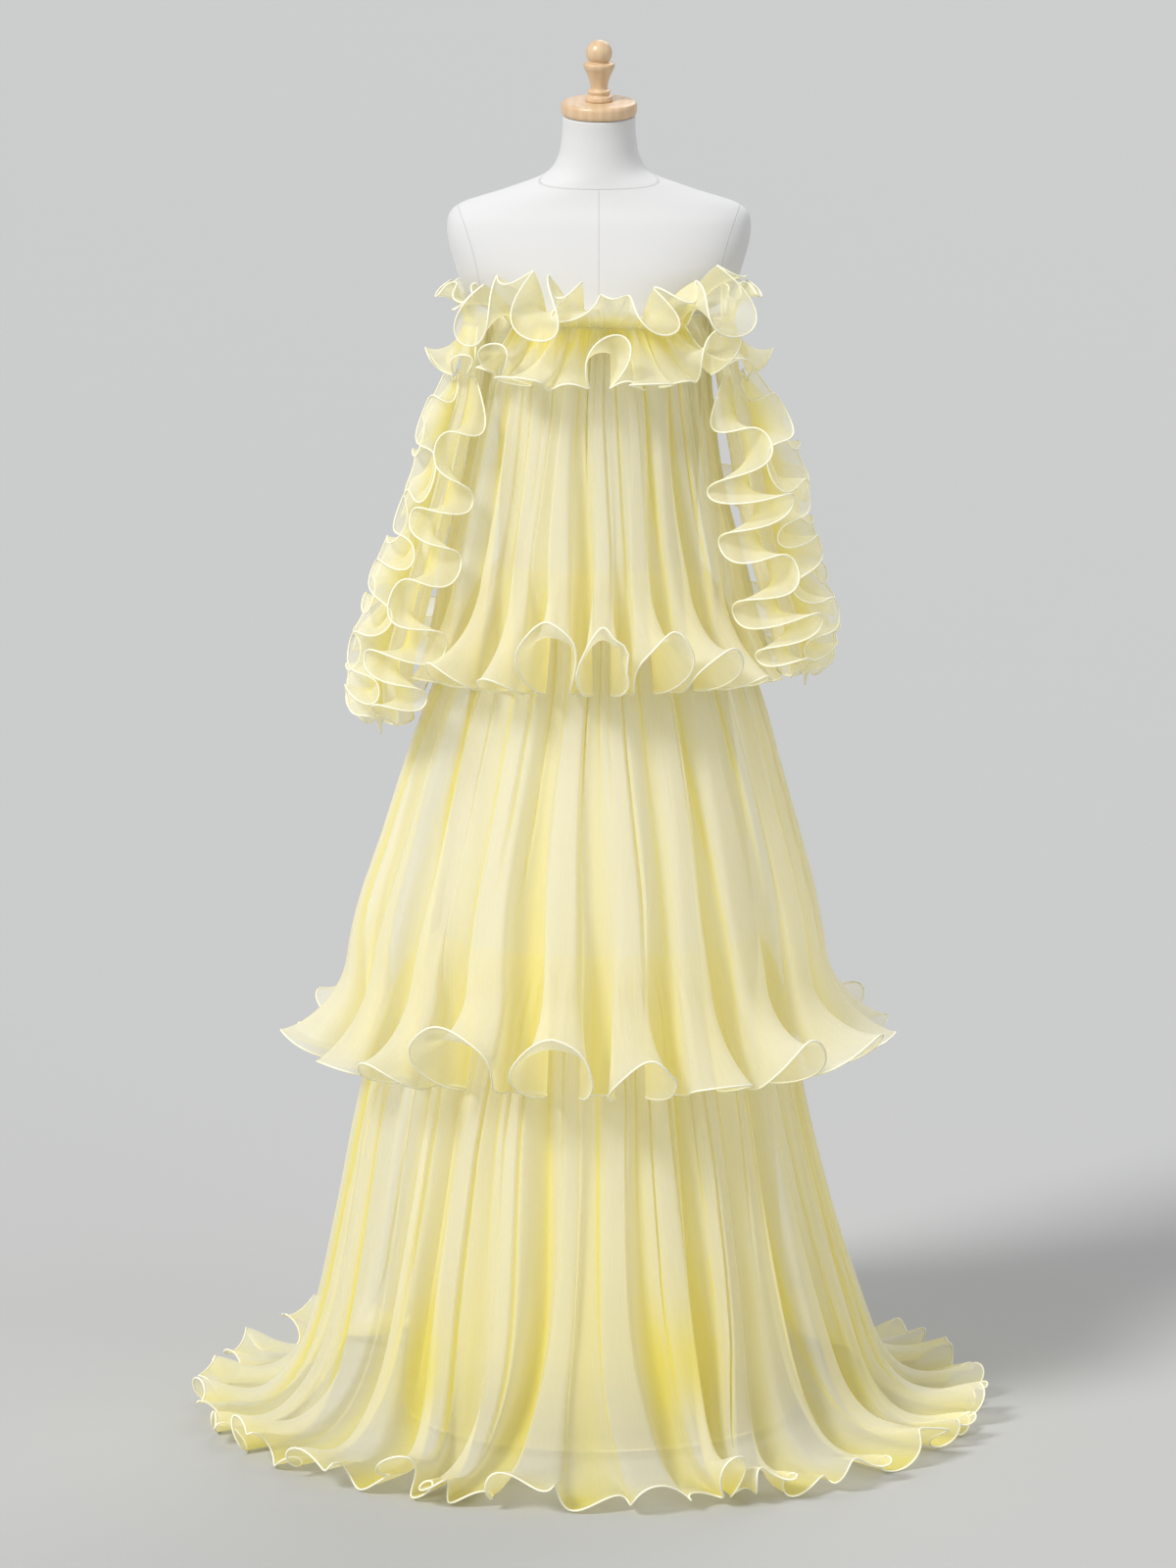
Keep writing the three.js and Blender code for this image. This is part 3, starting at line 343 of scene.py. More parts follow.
SLEEVE_COLUMNS = ("z", "x", "y", "across", "along", "frill")
SLEEVE_LEFT = Table(
    SLEEVE_COLUMNS,
    (
        (1434, -155.7, -14, 14.5, 46, 20),
        (1337, -165.5, -27, 15, 54, 32),
        (1286, -178, -33, 15.5, 56, 38),
        (1211, -195, -40, 16, 58, 36),
        (1087, -230, -49, 18, 61, 50),
        (990, -255, -53, 19, 64, 48),
        (925, -256, -54, 20, 66, 40),
    ),
)
SLEEVE_RIGHT = Table(
    SLEEVE_COLUMNS,
    (
        (1434, 155.6, -14, 14.5, 46, 26),
        (1362, 164, -24, 16, 53, 32),
        (1268, 184, -34, 19, 57, 56),
        (1190, 197, -40, 19, 59, 54),
        (1115, 215, -42, 19, 61, 56),
        (1050, 235, -42, 19, 62, 52),
        (985, 244, -41, 17, 63, 30),
    ),
)
SLEEVE_ROWS = Table(
    ("z", "up", "length", "rest", "swing", "seat", "back", "front"),
    (
        (1429, 1, 54, 34, 66, 2.3, -58, 92),
        (1424, -1, 62, 22, 84, 2.9, -96, 100),
    ),
)
FRILLS = Table(
    ("base", "towards", "seat", "sway", "lag", "width"),
    (
        (90, 92, 1.35, 84, 0, 1.4),
        (30, 46, 2.9, 66, 0.2, 1.1),
        (0, 4, 2.1, 62, 0.55, 1),
        (-30, -42, 2.65, 62, 0.8, 1.1),
        (-90, -90, 1.3, 78, 0.1, 1.35),
    ),
)


# Shapes on grids of two parameters


def outward(angle: Array) -> Array:
    """The level direction at an angle in radians: its sine along X, minus its cosine along Y."""
    return np.stack([np.sin(angle), -np.cos(angle), np.zeros_like(angle)], axis=-1)


def unit(vectors: Array) -> Array:
    """The vectors at length 1."""
    return vectors / np.maximum(np.linalg.norm(vectors, axis=-1, keepdims=True), 1e-12)


def smooth(start: float, end: float, place: Array) -> Array:
    """A smooth step from 0 at the start to 1 at the end."""
    s = np.clip((place - start) / (end - start), 0, 1)
    return s * s * (3 - 2 * s)


def reach(level: dict[str, Array], angle: Array, fullness: Array | float = 2) -> Array:
    """How far a level reaches from the axis at an angle, on four quarter ellipses.

    The share across and the share along, each to the power of the fullness, add up to 1.

    Args:
        level: Its reach to the left (-X), the right (+X), the front (-Y) and the back (+Y).
        angle: The angle in radians.
        fullness: 2 for an ellipse, and more for a squarer level.

    Returns:
        The distance from the axis.
    """
    across = np.abs(np.sin(angle)) / np.where(np.sin(angle) < 0, level["left"], level["right"])
    along = np.abs(np.cos(angle)) / np.where(np.cos(angle) > 0, level["front"], level["back"])
    return (across**fullness + along**fullness) ** (-1 / fullness)


def grid_normals(grid: Array, closed: bool) -> Array:
    """The unit normals of a grid: the step along a line crossed with the step across the lines."""
    if closed:
        across = np.roll(grid, -1, axis=0) - np.roll(grid, 1, axis=0)
    else:
        across = np.gradient(grid, axis=0)
    return unit(np.cross(np.gradient(grid, axis=1), across))


@dataclass
class Surface:
    """Vertices with their faces, texture coordinates and a painted shade value, ready to join and build."""

    points: Array
    faces: Array
    uv: Array
    depth: Array

    @staticmethod
    def from_grid(grid: Array, depth: Array | float = 0.0, closed: bool = False) -> Surface:
        """A surface from a grid of points in millimetres, its faces outwards.

        Texture coordinates are the lengths across and along the grid, in metres.

        Args:
            grid: Points by line and by row.
            depth: How deep in the folds each point lies, from 0 to 1: the painted shade of the cloth's
                colour.
            closed: Whether the last line meets the first.

        Returns:
            The surface, in metres.
        """
        lines, rows = grid.shape[:2]
        across = np.linalg.norm(np.diff(grid, axis=0), axis=2).mean(axis=1)
        along = np.linalg.norm(np.diff(grid, axis=1), axis=2).mean(axis=0)
        u = np.concatenate([[0], np.cumsum(across)]) * MM
        v = np.concatenate([[0], np.cumsum(along)]) * MM
        uv = np.stack(np.meshgrid(u, v, indexing="ij"), axis=-1).reshape(-1, 2)
        i = np.arange(lines if closed else lines - 1)[:, None]
        j = np.arange(rows - 1)[None, :]
        following = (i + 1) % lines
        corners = [i * rows + j, i * rows + j + 1, following * rows + j + 1, following * rows + j]
        faces = np.stack([np.broadcast_to(c, (i.size, j.size)) for c in corners], axis=-1).reshape(-1, 4)
        shade = np.broadcast_to(depth, grid.shape[:2]).reshape(-1)
        return Surface(grid.reshape(-1, 3) * MM, faces, uv, np.clip(shade, 0, 1))

    @staticmethod
    def joined(parts: list[Surface]) -> Surface:
        """Several surfaces as one."""
        starts = np.cumsum([0] + [len(part.points) for part in parts[:-1]])
        return Surface(
            np.concatenate([part.points for part in parts]),
            np.concatenate([part.faces + start for part, start in zip(parts, starts)]),
            np.concatenate([part.uv for part in parts]),
            np.concatenate([part.depth for part in parts]),
        )

    def build(self, name: str, material: bpy.types.Material) -> bpy.types.Object:
        """The surface as a smooth mesh object with its UV map, painted shade attribute and material.

        Args:
            name: The object's name.
            material: The material of all its faces.

        Returns:
            The object, at the origin.
        """
        mesh = bpy.data.meshes.new(name)
        mesh.vertices.add(len(self.points))
        mesh.vertices.foreach_set("co", self.points.astype(np.float32).ravel())
        mesh.loops.add(self.faces.size)
        mesh.loops.foreach_set("vertex_index", self.faces.astype(np.int32).ravel())
        mesh.polygons.add(len(self.faces))
        mesh.polygons.foreach_set("loop_start", np.arange(0, self.faces.size, 4, dtype=np.int32))
        mesh.update(calc_edges=True)
        layer = mesh.uv_layers.new(name="cloth")
        layer.data.foreach_set("uv", self.uv[self.faces.ravel()].astype(np.float32).ravel())
        shade = mesh.attributes.new("depth", "FLOAT", "POINT")
        shade.data.foreach_set("value", self.depth.astype(np.float32))
        mesh.polygons.foreach_set("use_smooth", np.ones(len(self.faces), bool))
        mesh.validate()
        mesh.materials.append(material)
        made = bpy.data.objects.new(name, mesh)
        bpy.context.scene.collection.objects.link(made)
        LOG.info("%s: %d faces", name, len(self.faces))
        return made


def tube(path: Array, normals: Array, radius: float, closed: bool = False, sides: int = 6) -> Surface:
    """A round cord along a path: at each point a ring of the radius, square to the path.

    Args:
        path: Points in millimetres.
        normals: A direction at each point that isn't along the path.
        radius: The cord's radius in millimetres.
        closed: Whether the path's end meets its start. An open path is closed by a point at each end.
        sides: Points in a ring.

    Returns:
        The cord's surface.
    """
    if closed:
        path, normals = (np.concatenate([row, row[:1]]) for row in (path, normals))
    else:
        path, normals = (np.concatenate([row[:1], row, row[-1:]]) for row in (path, normals))
    forward = np.gradient(path, axis=0)
    radii = np.full(len(path), radius)
    if closed:
        forward[0] = forward[-1] = forward[0] + forward[-1]
    else:
        forward[0], forward[-1] = forward[1], forward[-2]
        radii[[0, -1]] = TIP_SHARE * radius
    forward = unit(forward)
    side = unit(np.cross(forward, normals))
    up = np.cross(side, forward)
    turn = 2 * np.pi * np.arange(sides) / sides
    ring = np.cos(turn)[:, None, None] * up + np.sin(turn)[:, None, None] * side
    return Surface.from_grid(path + radii[None, :, None] * ring, closed=True)


def lathe(profile: Array, sides: int) -> Array:
    """A grid of points from a profile of radius and height, turned round the vertical axis."""
    angle = 2 * np.pi * np.arange(sides) / sides
    radius, height = profile[:, 0], profile[:, 1]
    grid = outward(angle)[:, None, :] * radius[None, :, None]
    grid[..., 2] = height
    return grid


def rounded(profile: tuple[tuple[float, float], ...], steps: int) -> Array:
    """A profile through its points on smooth curves, closed to the axis at both ends."""
    points = np.array([(CLOSED_RADIUS, profile[0][1]), *profile, (CLOSED_RADIUS, profile[-1][1])])
    gaps = np.linalg.norm(np.diff(points, axis=0), axis=1)
    length = np.concatenate([[0], np.cumsum(np.maximum(gaps, 1e-6))])
    table = Table(("at", "radius", "up"), tuple(zip(length, points[:, 0], points[:, 1])))
    places = np.unique(np.concatenate([length, np.linspace(0, length[-1], steps)]))
    radius = np.maximum(table.read("at", places, "radius"), CLOSED_RADIUS)
    return np.stack([radius, table.read("at", places, "up")], axis=1)


# Shader trees as expressions


class Wire:
    """A socket or a number in a shader tree. Arithmetic on wires adds Math nodes."""

    def __init__(self, tree: Shader, socket: bpy.types.NodeSocket) -> None:
        """Holds a socket of a tree."""
        self.tree = tree
        self.socket = socket

    def math(self, operation: str, *others: Wire | float) -> Wire:
        """This wire and others through one Math node."""
        values = dict(enumerate((self, *others)))
        return self.tree.node("ShaderNodeMath", {"operation": operation}, values)

    def swapped(self, operation: str, other: Wire | float) -> Wire:
        """Another value and this wire through one Math node, the other value first."""
        return self.tree.node("ShaderNodeMath", {"operation": operation}, {0: other, 1: self})

    def __add__(self, other: Wire | float) -> Wire:
        """This plus other."""
        return self.math("ADD", other)

    def __radd__(self, other: float) -> Wire:
        """Other plus this."""
        return self.swapped("ADD", other)

    def __sub__(self, other: Wire | float) -> Wire:
        """This minus other."""
        return self.math("SUBTRACT", other)

    def __rsub__(self, other: float) -> Wire:
        """Other minus this."""
        return self.swapped("SUBTRACT", other)

    def __mul__(self, other: Wire | float) -> Wire:
        """This times other."""
        return self.math("MULTIPLY", other)

    def __rmul__(self, other: float) -> Wire:
        """Other times this."""
        return self.swapped("MULTIPLY", other)

    def __truediv__(self, other: Wire | float) -> Wire:
        """This over other."""
        return self.math("DIVIDE", other)

    def __pow__(self, other: Wire | float) -> Wire:
        """This to a power."""
        return self.math("POWER", other)

    def absolute(self) -> Wire:
        """This without its sign."""
        return self.math("ABSOLUTE")

    def held(self) -> Wire:
        """This kept between 0 and 1."""
        return self.tree.node("ShaderNodeClamp", {}, {0: self})

    def swing(self, size: float) -> Wire:
        """A noise of 0 to 1 moved to lie round 0, over a size."""
        return (self - 0.5) * size

    def line(self, width: float) -> Wire:
        """1 where this is 0, and 0 from a width on either side of it."""
        return (1 - self.absolute() / width).held()


class Shader:
    """A material whose nodes are made one call at a time."""

    def __init__(self, name: str) -> None:
        """Starts an empty material."""
        self.material = bpy.data.materials.new(name)
        self.material.use_nodes = True
        self.tree = self.material.node_tree
        self.tree.nodes.clear()

    def node(self, kind: str, settings: dict, inputs: dict, output: int | str = 0) -> Wire:
        """Adds a node.

        Args:
            kind: The node's type.
            settings: Its properties, set before its sockets. stops is a ramp's list of place and colour.
            inputs: A value or a wire for each socket, by number or name.
            output: The socket to return.

        Returns:
            The wire from the chosen output.
        """
        made = self.tree.nodes.new(kind)
        for key, value in settings.items():
            if key == "stops":
                elements = made.color_ramp.elements
                while len(elements) < len(value):
                    elements.new(0.5)
                for element, (place, colour) in zip(elements, value):
                    element.position, element.color = place, colour
            else:
                setattr(made, key, value)
        for key, value in inputs.items():
            if isinstance(value, Wire):
                self.tree.links.new(value.socket, made.inputs[key])
            else:
                made.inputs[key].default_value = value
        return Wire(self, made.outputs[output])

    def mix(self, share: Wire | float, first: Wire | Colour, second: Wire | Colour) -> Wire:
        """Two colours mixed by a share."""
        return self.node("ShaderNodeMix", {"data_type": "RGBA"}, {0: share, 6: first, 7: second}, 2)

    def coordinates(self, kind: str, scale: tuple[float, float, float] = (1, 1, 1)) -> Wire:
        """Texture coordinates of a kind, scaled."""
        source = self.node("ShaderNodeTexCoord", {}, {}, kind)
        return self.node("ShaderNodeMapping", {}, {"Vector": source, "Scale": scale})

    def parts(self, vector: Wire) -> tuple[Wire, Wire, Wire]:
        """A vector's three numbers."""
        split = self.tree.nodes.new("ShaderNodeSeparateXYZ")
        self.tree.links.new(vector.socket, split.inputs[0])
        return tuple(Wire(self, output) for output in split.outputs)

    def noise(self, vector: Wire, scale: float, detail: float = 2, roughness: float = 0.5) -> Wire:
        """Noise from 0 to 1 on a vector."""
        values = {"Vector": vector, "Scale": scale, "Detail": detail, "Roughness": roughness}
        return self.node("ShaderNodeTexNoise", {}, values)

    def wave(self, vector: Wire, scale: float, direction: str, distortion: float = 0) -> Wire:
        """Even bands from 0 to 1 across a direction."""
        settings = {"wave_type": "BANDS", "bands_direction": direction}
        values = {"Vector": vector, "Scale": scale, "Distortion": distortion}
        return self.node("ShaderNodeTexWave", settings, values)

    def bump(self, height: Wire, distance: float, strength: float = 1) -> Wire:
        """A normal from a height of 0 to 1 over a distance in metres."""
        return self.node("ShaderNodeBump", {}, {"Height": height, "Distance": distance, "Strength": strength})

    def body(self, **values: Wire | Colour | float) -> Wire:
        """A Principled shader, its sockets named with underscores for their spaces."""
        named = {key.replace("_", " "): value for key, value in values.items()}
        return self.node("ShaderNodeBsdfPrincipled", {}, named)

    def done(self, surface: Wire) -> bpy.types.Material:
        """Sends a shader to the output and returns the material."""
        end = self.tree.nodes.new("ShaderNodeOutputMaterial")
        self.tree.links.new(surface.socket, end.inputs["Surface"])
        return self.material


class Weave(Enum):
    """How closely a cloth of the dress is woven: its opacity square on and at a glancing angle."""

    TIER = (0.5, 0.72)
    RUFFLE = (0.46, 0.86)
    SLIP = (0.97, 1.0)


@dataclass(frozen=True)
class Organza:
    """Fine silk organza: pale on its ridges, deeper and darker yellow down in its folds, partly doubled cloth
    and partly painted shade.
    """

    name: str
    pale: Colour
    weave: Weave
    hem_fade: float = 0
    # The deep colour stands for painted shade in the folds, at the seams and near the floor, over the deeper
    # yellow of doubled cloth.
    deep: Colour = (0.94, 0.83, 0.14, 1)
    clear: Colour = (1.0, 0.998, 0.975, 1)
    yarns: tuple[float, float, float] = (520, 22, 1)
    crepe: float = 900
    clouds: float = 14
    glow: float = 0.44
    relief: float = 0.0006
    fade_from: float = 1.3
    fade_rate: float = 8

    def opacity(self, shader: Shader, depth: Wire, threads: Wire) -> Wire:
        """How much of the cloth shows: more at a glancing angle and down in the folds.

        Args:
            shader: The material's nodes.
            depth: How deep in the folds the cloth lies.
            threads: The unevenness of its yarns, round 0.

        Returns:
            The share of cloth, from 0 to 1.
        """
        square_on, glancing = self.weave.value
        facing = shader.node("ShaderNodeLayerWeight", {}, {"Blend": 0.5}, "Facing")
        down = shader.node("ShaderNodeSeparateXYZ", {}, {0: shader.coordinates("UV")}, "Y")
        fade = ((down - self.fade_from) * self.fade_rate).held() * self.hem_fade
        shown = square_on + facing**2.0 * (glancing - square_on) + threads + depth * 0.18
        return (shown - fade).held()

    def material(self) -> bpy.types.Material:
        """Cloth that lets light through: more of it square on than at a glancing angle."""
        shader = Shader(self.name)
        cloth = shader.coordinates("UV")
        depth = shader.node("ShaderNodeAttribute", {"attribute_name": "depth"}, {}, "Fac")
        lengthwise = shader.noise(shader.coordinates("UV", self.yarns), 1.0, 3, 0.6)
        crepe = shader.noise(cloth, self.crepe, 2, 0.7)
        clouding = shader.noise(cloth, self.clouds, 2, 0.5)
        # The depth attribute mixes in the deep colour: painted shade down in the folds, at the seams and near
        # the floor.
        share = (depth**1.2 + clouding.swing(0.16) + lengthwise.swing(0.08)).held()
        body = shader.body(
            Base_Color=shader.mix(share, self.pale, self.deep),
            Roughness=0.62,
            Normal=shader.bump(lengthwise * 0.35 + crepe * 0.65, self.relief, 0.22),
            Sheen_Weight=0.25,
            Sheen_Roughness=0.4,
            Specular_IOR_Level=0.3,
        )
        glow = shader.node("ShaderNodeBsdfTranslucent", {}, {"Color": self.through()})
        woven = shader.node("ShaderNodeMixShader", {}, {0: self.glow, 1: body, 2: glow})
        clear = shader.node("ShaderNodeBsdfTransparent", {}, {"Color": self.clear})
        opacity = self.opacity(shader, depth, lengthwise.swing(0.07) + crepe.swing(0.12))
        return shader.done(shader.node("ShaderNodeMixShader", {}, {0: opacity, 1: clear, 2: woven}))

    def through(self) -> Colour:
        """The colour of the light that comes through: halfway between the pale and the deep one."""
        return tuple((a + b) / 2 for a, b in zip(self.pale, self.deep))


@dataclass(frozen=True)
class RolledHem:
    """The rolled edge of the organza, stitched over with cream silk thread."""

    name: str = "rolled_hem_thread"
    colour: Colour = (0.97, 0.95, 0.76, 1)
    # The shade colour is painted shade in the grooves between the thread's turns.
    shade: Colour = (0.93, 0.89, 0.6, 1)
    turns: float = 220

    def material(self) -> bpy.types.Material:
        """Slanted turns of thread along the roll, with painted shade in the grooves between the turns."""
        shader = Shader(self.name)
        turns = shader.wave(shader.coordinates("UV"), self.turns, "DIAGONAL")
        colour = shader.mix((1 - turns) * 0.5, self.colour, self.shade)
        normal = shader.bump(turns, 0.0003, 0.6)
        return shader.done(shader.body(Base_Color=colour, Roughness=0.5, Normal=normal, Sheen_Weight=0.2))


@dataclass(frozen=True)
class Linen:
    """The form's white linen cover, with its flat seams."""

    name: str = "form_linen_cover"
    colour: Colour = (0.71, 0.705, 0.7, 1)
    thread: Colour = (0.62, 0.615, 0.61, 1)
    seam: Colour = (0.42, 0.41, 0.4, 1)
    yarns: float = 620
    seam_width: float = 0.001
    neck_base: float = 1.6165
    plate_foot: float = 1.44
    plate_reach: float = 0.1465

    def seams(self, shader: Shader) -> Wire:
        """1 on the seams: down the centre, round the base of the neck and round both arm plates."""
        x, y, z = shader.parts(shader.coordinates("Object"))
        below_neck = z - (self.neck_base + y * 0.35)
        centre = x.line(0.9 * self.seam_width) * (below_neck * -400).held()
        neck = below_neck.line(self.seam_width)
        rise = z - self.plate_foot
        plate = x.absolute() - (self.plate_reach + rise * 0.06 + rise * rise * 1.35)
        arm = plate.line(self.seam_width) * (rise * 300).held()
        return (centre + neck + arm).held()

    def material(self) -> bpy.types.Material:
        """A plain weave of slubby threads."""
        shader = Shader(self.name)
        place = shader.coordinates("Object")
        warp, weft = (shader.wave(place, self.yarns, axis, 0.6) for axis in ("X", "Z"))
        slubs = shader.noise(shader.coordinates("Object", (900, 900, 90)), 1, 3, 0.6)
        weave = (warp * 0.5 + weft * 0.5) * 0.7 + slubs * 0.3
        seams = self.seams(shader)
        cover = shader.mix(weave, self.thread, self.colour)
        body = shader.body(
            Base_Color=shader.mix(seams * 0.55, cover, self.seam),
            Roughness=0.85,
            Normal=shader.bump(weave * 0.3 - seams, 0.0006, 0.6),
            Sheen_Weight=0.3,
            Specular_IOR_Level=0.25,
        )
        return shader.done(body)


@dataclass(frozen=True)
class Maple:
    """Light maple with a satin varnish."""

    name: str = "varnished_maple"
    light: Colour = (0.72, 0.52, 0.32, 1)
    dark: Colour = (0.56, 0.37, 0.2, 1)

    def material(self) -> bpy.types.Material:
        """Fine lengthwise grain with faint growth bands."""
        shader = Shader(self.name)
        place = shader.coordinates("Object", (1, 1, 0.12))
        grain = shader.noise(place, 420, 4, 0.65)
        bands = shader.wave(place, 26, "X", 5)
        body = shader.body(
            Base_Color=shader.mix((grain * 0.6 + bands * 0.35 - 0.1).held(), self.light, self.dark),
            Roughness=0.34 + grain * 0.12,
            Normal=shader.bump(grain, 0.0002, 0.25),
            Coat_Weight=0.35,
            Coat_Roughness=0.2,
        )
        return shader.done(body)


@dataclass(frozen=True)
class PowderCoat:
    """Grey powder coat on the steel stand."""

    name: str = "powder_coated_steel"
    colour: Colour = (0.3, 0.305, 0.31, 1)
    worn: Colour = (0.36, 0.365, 0.37, 1)

    def material(self) -> bpy.types.Material:
        """Fine orange-peel grain with faint scuffs."""
        shader = Shader(self.name)
        place = shader.coordinates("Object")
        peel = shader.noise(place, 1400, 2, 0.5)
        scuffs = shader.noise(place, 30, 4, 0.7)
        body = shader.body(
            Base_Color=shader.mix(scuffs, self.colour, self.worn),
            Roughness=0.42 + scuffs * 0.2,
            Normal=shader.bump(peel, 0.0002, 0.4),
            Metallic=0.2,
        )
        return shader.done(body)


@dataclass(frozen=True)
class PaleFloor:
    """The matte studio floor."""

    name: str = "pale_floor"
    colour: Colour = (0.46, 0.46, 0.455, 1)
    shade: Colour = (0.44, 0.44, 0.435, 1)

    def material(self) -> bpy.types.Material:
        """Even pale grey."""
        shader = Shader(self.name)
        clouds = shader.noise(shader.coordinates("Object"), 1.5)
        cast = shader.mix(clouds * 0.2, self.colour, self.shade)
        return shader.done(shader.body(Base_Color=cast, Roughness=0.9))


# The pieces


@dataclass
class Finishes:
    """Every material of the object, made once."""

    tier: bpy.types.Material = field(init=False)
    ruffle: bpy.types.Material = field(init=False)
    slip: bpy.types.Material = field(init=False)
    hem: bpy.types.Material = field(init=False)
    linen: bpy.types.Material = field(init=False)
    maple: bpy.types.Material = field(init=False)
    steel: bpy.types.Material = field(init=False)

    def __post_init__(self) -> None:
        """Builds the materials."""
        self.tier = Organza("tier_organza", (0.985, 0.97, 0.89, 1), Weave.TIER).material()
        self.ruffle = Organza("ruffle_organza", (0.985, 0.97, 0.85, 1), Weave.RUFFLE).material()
        self.slip = Organza("slip_organza", (0.985, 0.975, 0.9, 1), Weave.SLIP, 0.6).material()
        self.hem = RolledHem().material()
        self.linen = Linen().material()
        self.maple = Maple().material()
        self.steel = PowderCoat().material()


def settle(piece: bpy.types.Object, slot: str, *nodes: str) -> None:
    """Lets a piece ride on the body and hides the nodes that it stands for."""
    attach(piece, "root")
    if nodes:
        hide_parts(*nodes)


@dataclass
class DressForm:
    """The limbless form: linen torso, wooden neck cap and finial, steel stand."""

    finishes: Finishes
    sides: int = 160
    rows: int = 170
    lower_rows: int = 70
    turned_sides: int = 72

    def torso_grid(self) -> Array:
        """Rings of quarter ellipses through the form's levels, the neck's rings leaned and tilted."""
        lower = np.linspace(862, 1440, self.lower_rows)
        heights = np.concatenate([lower, np.linspace(1442, 1688, self.rows - self.lower_rows)])
        level = FORM_LEVELS.level("z", heights)
        level["left"] = level["right"] = level["side"]
        angle = 2 * np.pi * np.arange(self.sides)[:, None] / self.sides
        distance = reach(level, angle, np.maximum(level["fullness"], 2))
        grid = outward(angle) * distance[..., None]
        grid[..., 2] = heights + np.tan(level["tilt"] * DEGREE) * grid[..., 1]
        grid[..., 1] += level["lean"]
        middle = grid.mean(axis=0, keepdims=True)
        caps = [middle[:, :1] + (grid[:, :1] - middle[:, :1]) * share for share in (0.001, 0.5, 0.9)]
        lids = [middle[:, -1:] + (grid[:, -1:] - middle[:, -1:]) * share for share in (0.9, 0.5, 0.001)]
        return np.concatenate([*caps, grid, *lids], axis=1)

    def on_neck(self, grid: Array, up: float) -> Array:
        """Points over the middle of the neck's top, tilted as the neck is."""
        cos, sin = math.cos(NECK_TILT * DEGREE), math.sin(NECK_TILT * DEGREE)
        raised = grid[..., 2] + up
        y = grid[..., 1] * cos - raised * sin + NECK_LEAN
        z = grid[..., 1] * sin + raised * cos + NECK_TOP_Z
        return np.stack([grid[..., 0], y, z], axis=-1)

    def build(self) -> None:
        """Makes the torso, cap and finial and finishes the stand."""
        torso = Surface.from_grid(self.torso_grid(), closed=True).build("form_cover", self.finishes.linen)
        settle(torso, "form_linen", "form_torso")
        turned = (
            ("neck_cap", "cap_turned", CAP_PROFILE, 60, 0),
            ("finial", "finial_turned", FINIAL_PROFILE, 110, CAP_THICKNESS),
        )
        for node, name, profile, steps, up in turned:
            grid = self.on_neck(lathe(rounded(profile, steps), self.turned_sides), up)
            wood = Surface.from_grid(grid, closed=True).build(name, self.finishes.maple)
            settle(wood, "maple", node)
        for node in ("stand_base", "stand_pole"):
            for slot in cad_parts[node].material_slots:
                slot.material = self.finishes.steel


@dataclass
class Slip:
    """The slip under the tiers, a plain flared tube of doubled organza."""

    finishes: Finishes
    sides: int = 180
    rows: int = 120
    flat: tuple[float, float] = (1.62, 1.46)
    area: float = 1.66
    hem_radius: float = 1.2
    shade_above: tuple[float, float] = (60, 520)

    def build(self) -> None:
        """Rings of quarter ellipses from the bust to the ankles, with a rolled hem."""
        heights = np.linspace(SLIP_LEVELS.rows[0][0], SLIP_LEVELS.rows[-1][0], self.rows)
        angle = 2 * np.pi * np.arange(self.sides)[:, None] / self.sides
        grid = outward(angle) * reach(SLIP_LEVELS.level("z", heights), angle)[..., None]
        grid[..., 2] = heights
        # Painted shade: the slip grows deeper and darker towards the floor.
        depth = 0.08 + 0.6 * (1 - smooth(*self.shade_above, heights))
        slip = Surface.from_grid(grid, depth, closed=True).build("slip_cloth_tube", self.finishes.slip)
        settle(slip, "slip_cloth", "slip")
        roll = tube(grid[:, -1], grid_normals(grid, True)[:, -1], self.hem_radius, closed=True)
        hem = roll.build("slip_rolled_hem", self.finishes.slip)
        settle(hem, "slip_cloth")


@dataclass
class Folds:
    """The folds of one panel between its two side seams."""

    table: Table
    start: float
    end: float

    def edges(self) -> Array:
        """The angles where the folds meet, with the panel's own ends."""
        at = self.table.column("at")
        return np.concatenate([[self.start], (at[1:] + at[:-1]) / 2, [self.end]])

    def at(self, place: Array) -> dict[str, Array]:
        """The fold at a place, its numbers blended into its neighbours' towards its edges."""
        columns = {name: self.table.column(name) for name in self.table.names}
        last = len(columns["at"]) - 1
        i = np.clip(np.floor(place).astype(int), 0, last)
        phase = 2 * np.pi * (place - i) - np.pi
        beside = np.clip(i + np.sign(phase).astype(int), 0, last)
        share = 0.5 + 0.5 * np.cos(phase / 2) ** 2
        edges = self.edges()
        half = np.where(phase < 0, columns["at"][i] - edges[i], edges[i + 1] - columns["at"][i])
        mixed = {
            name: column[beside] * (1 - share) + column[i] * share
            for name, column in columns.items()
            if name != "at"
        }
        return {"phase": phase, "centre": columns["at"][i] * DEGREE, "half": half * DEGREE, **mixed}


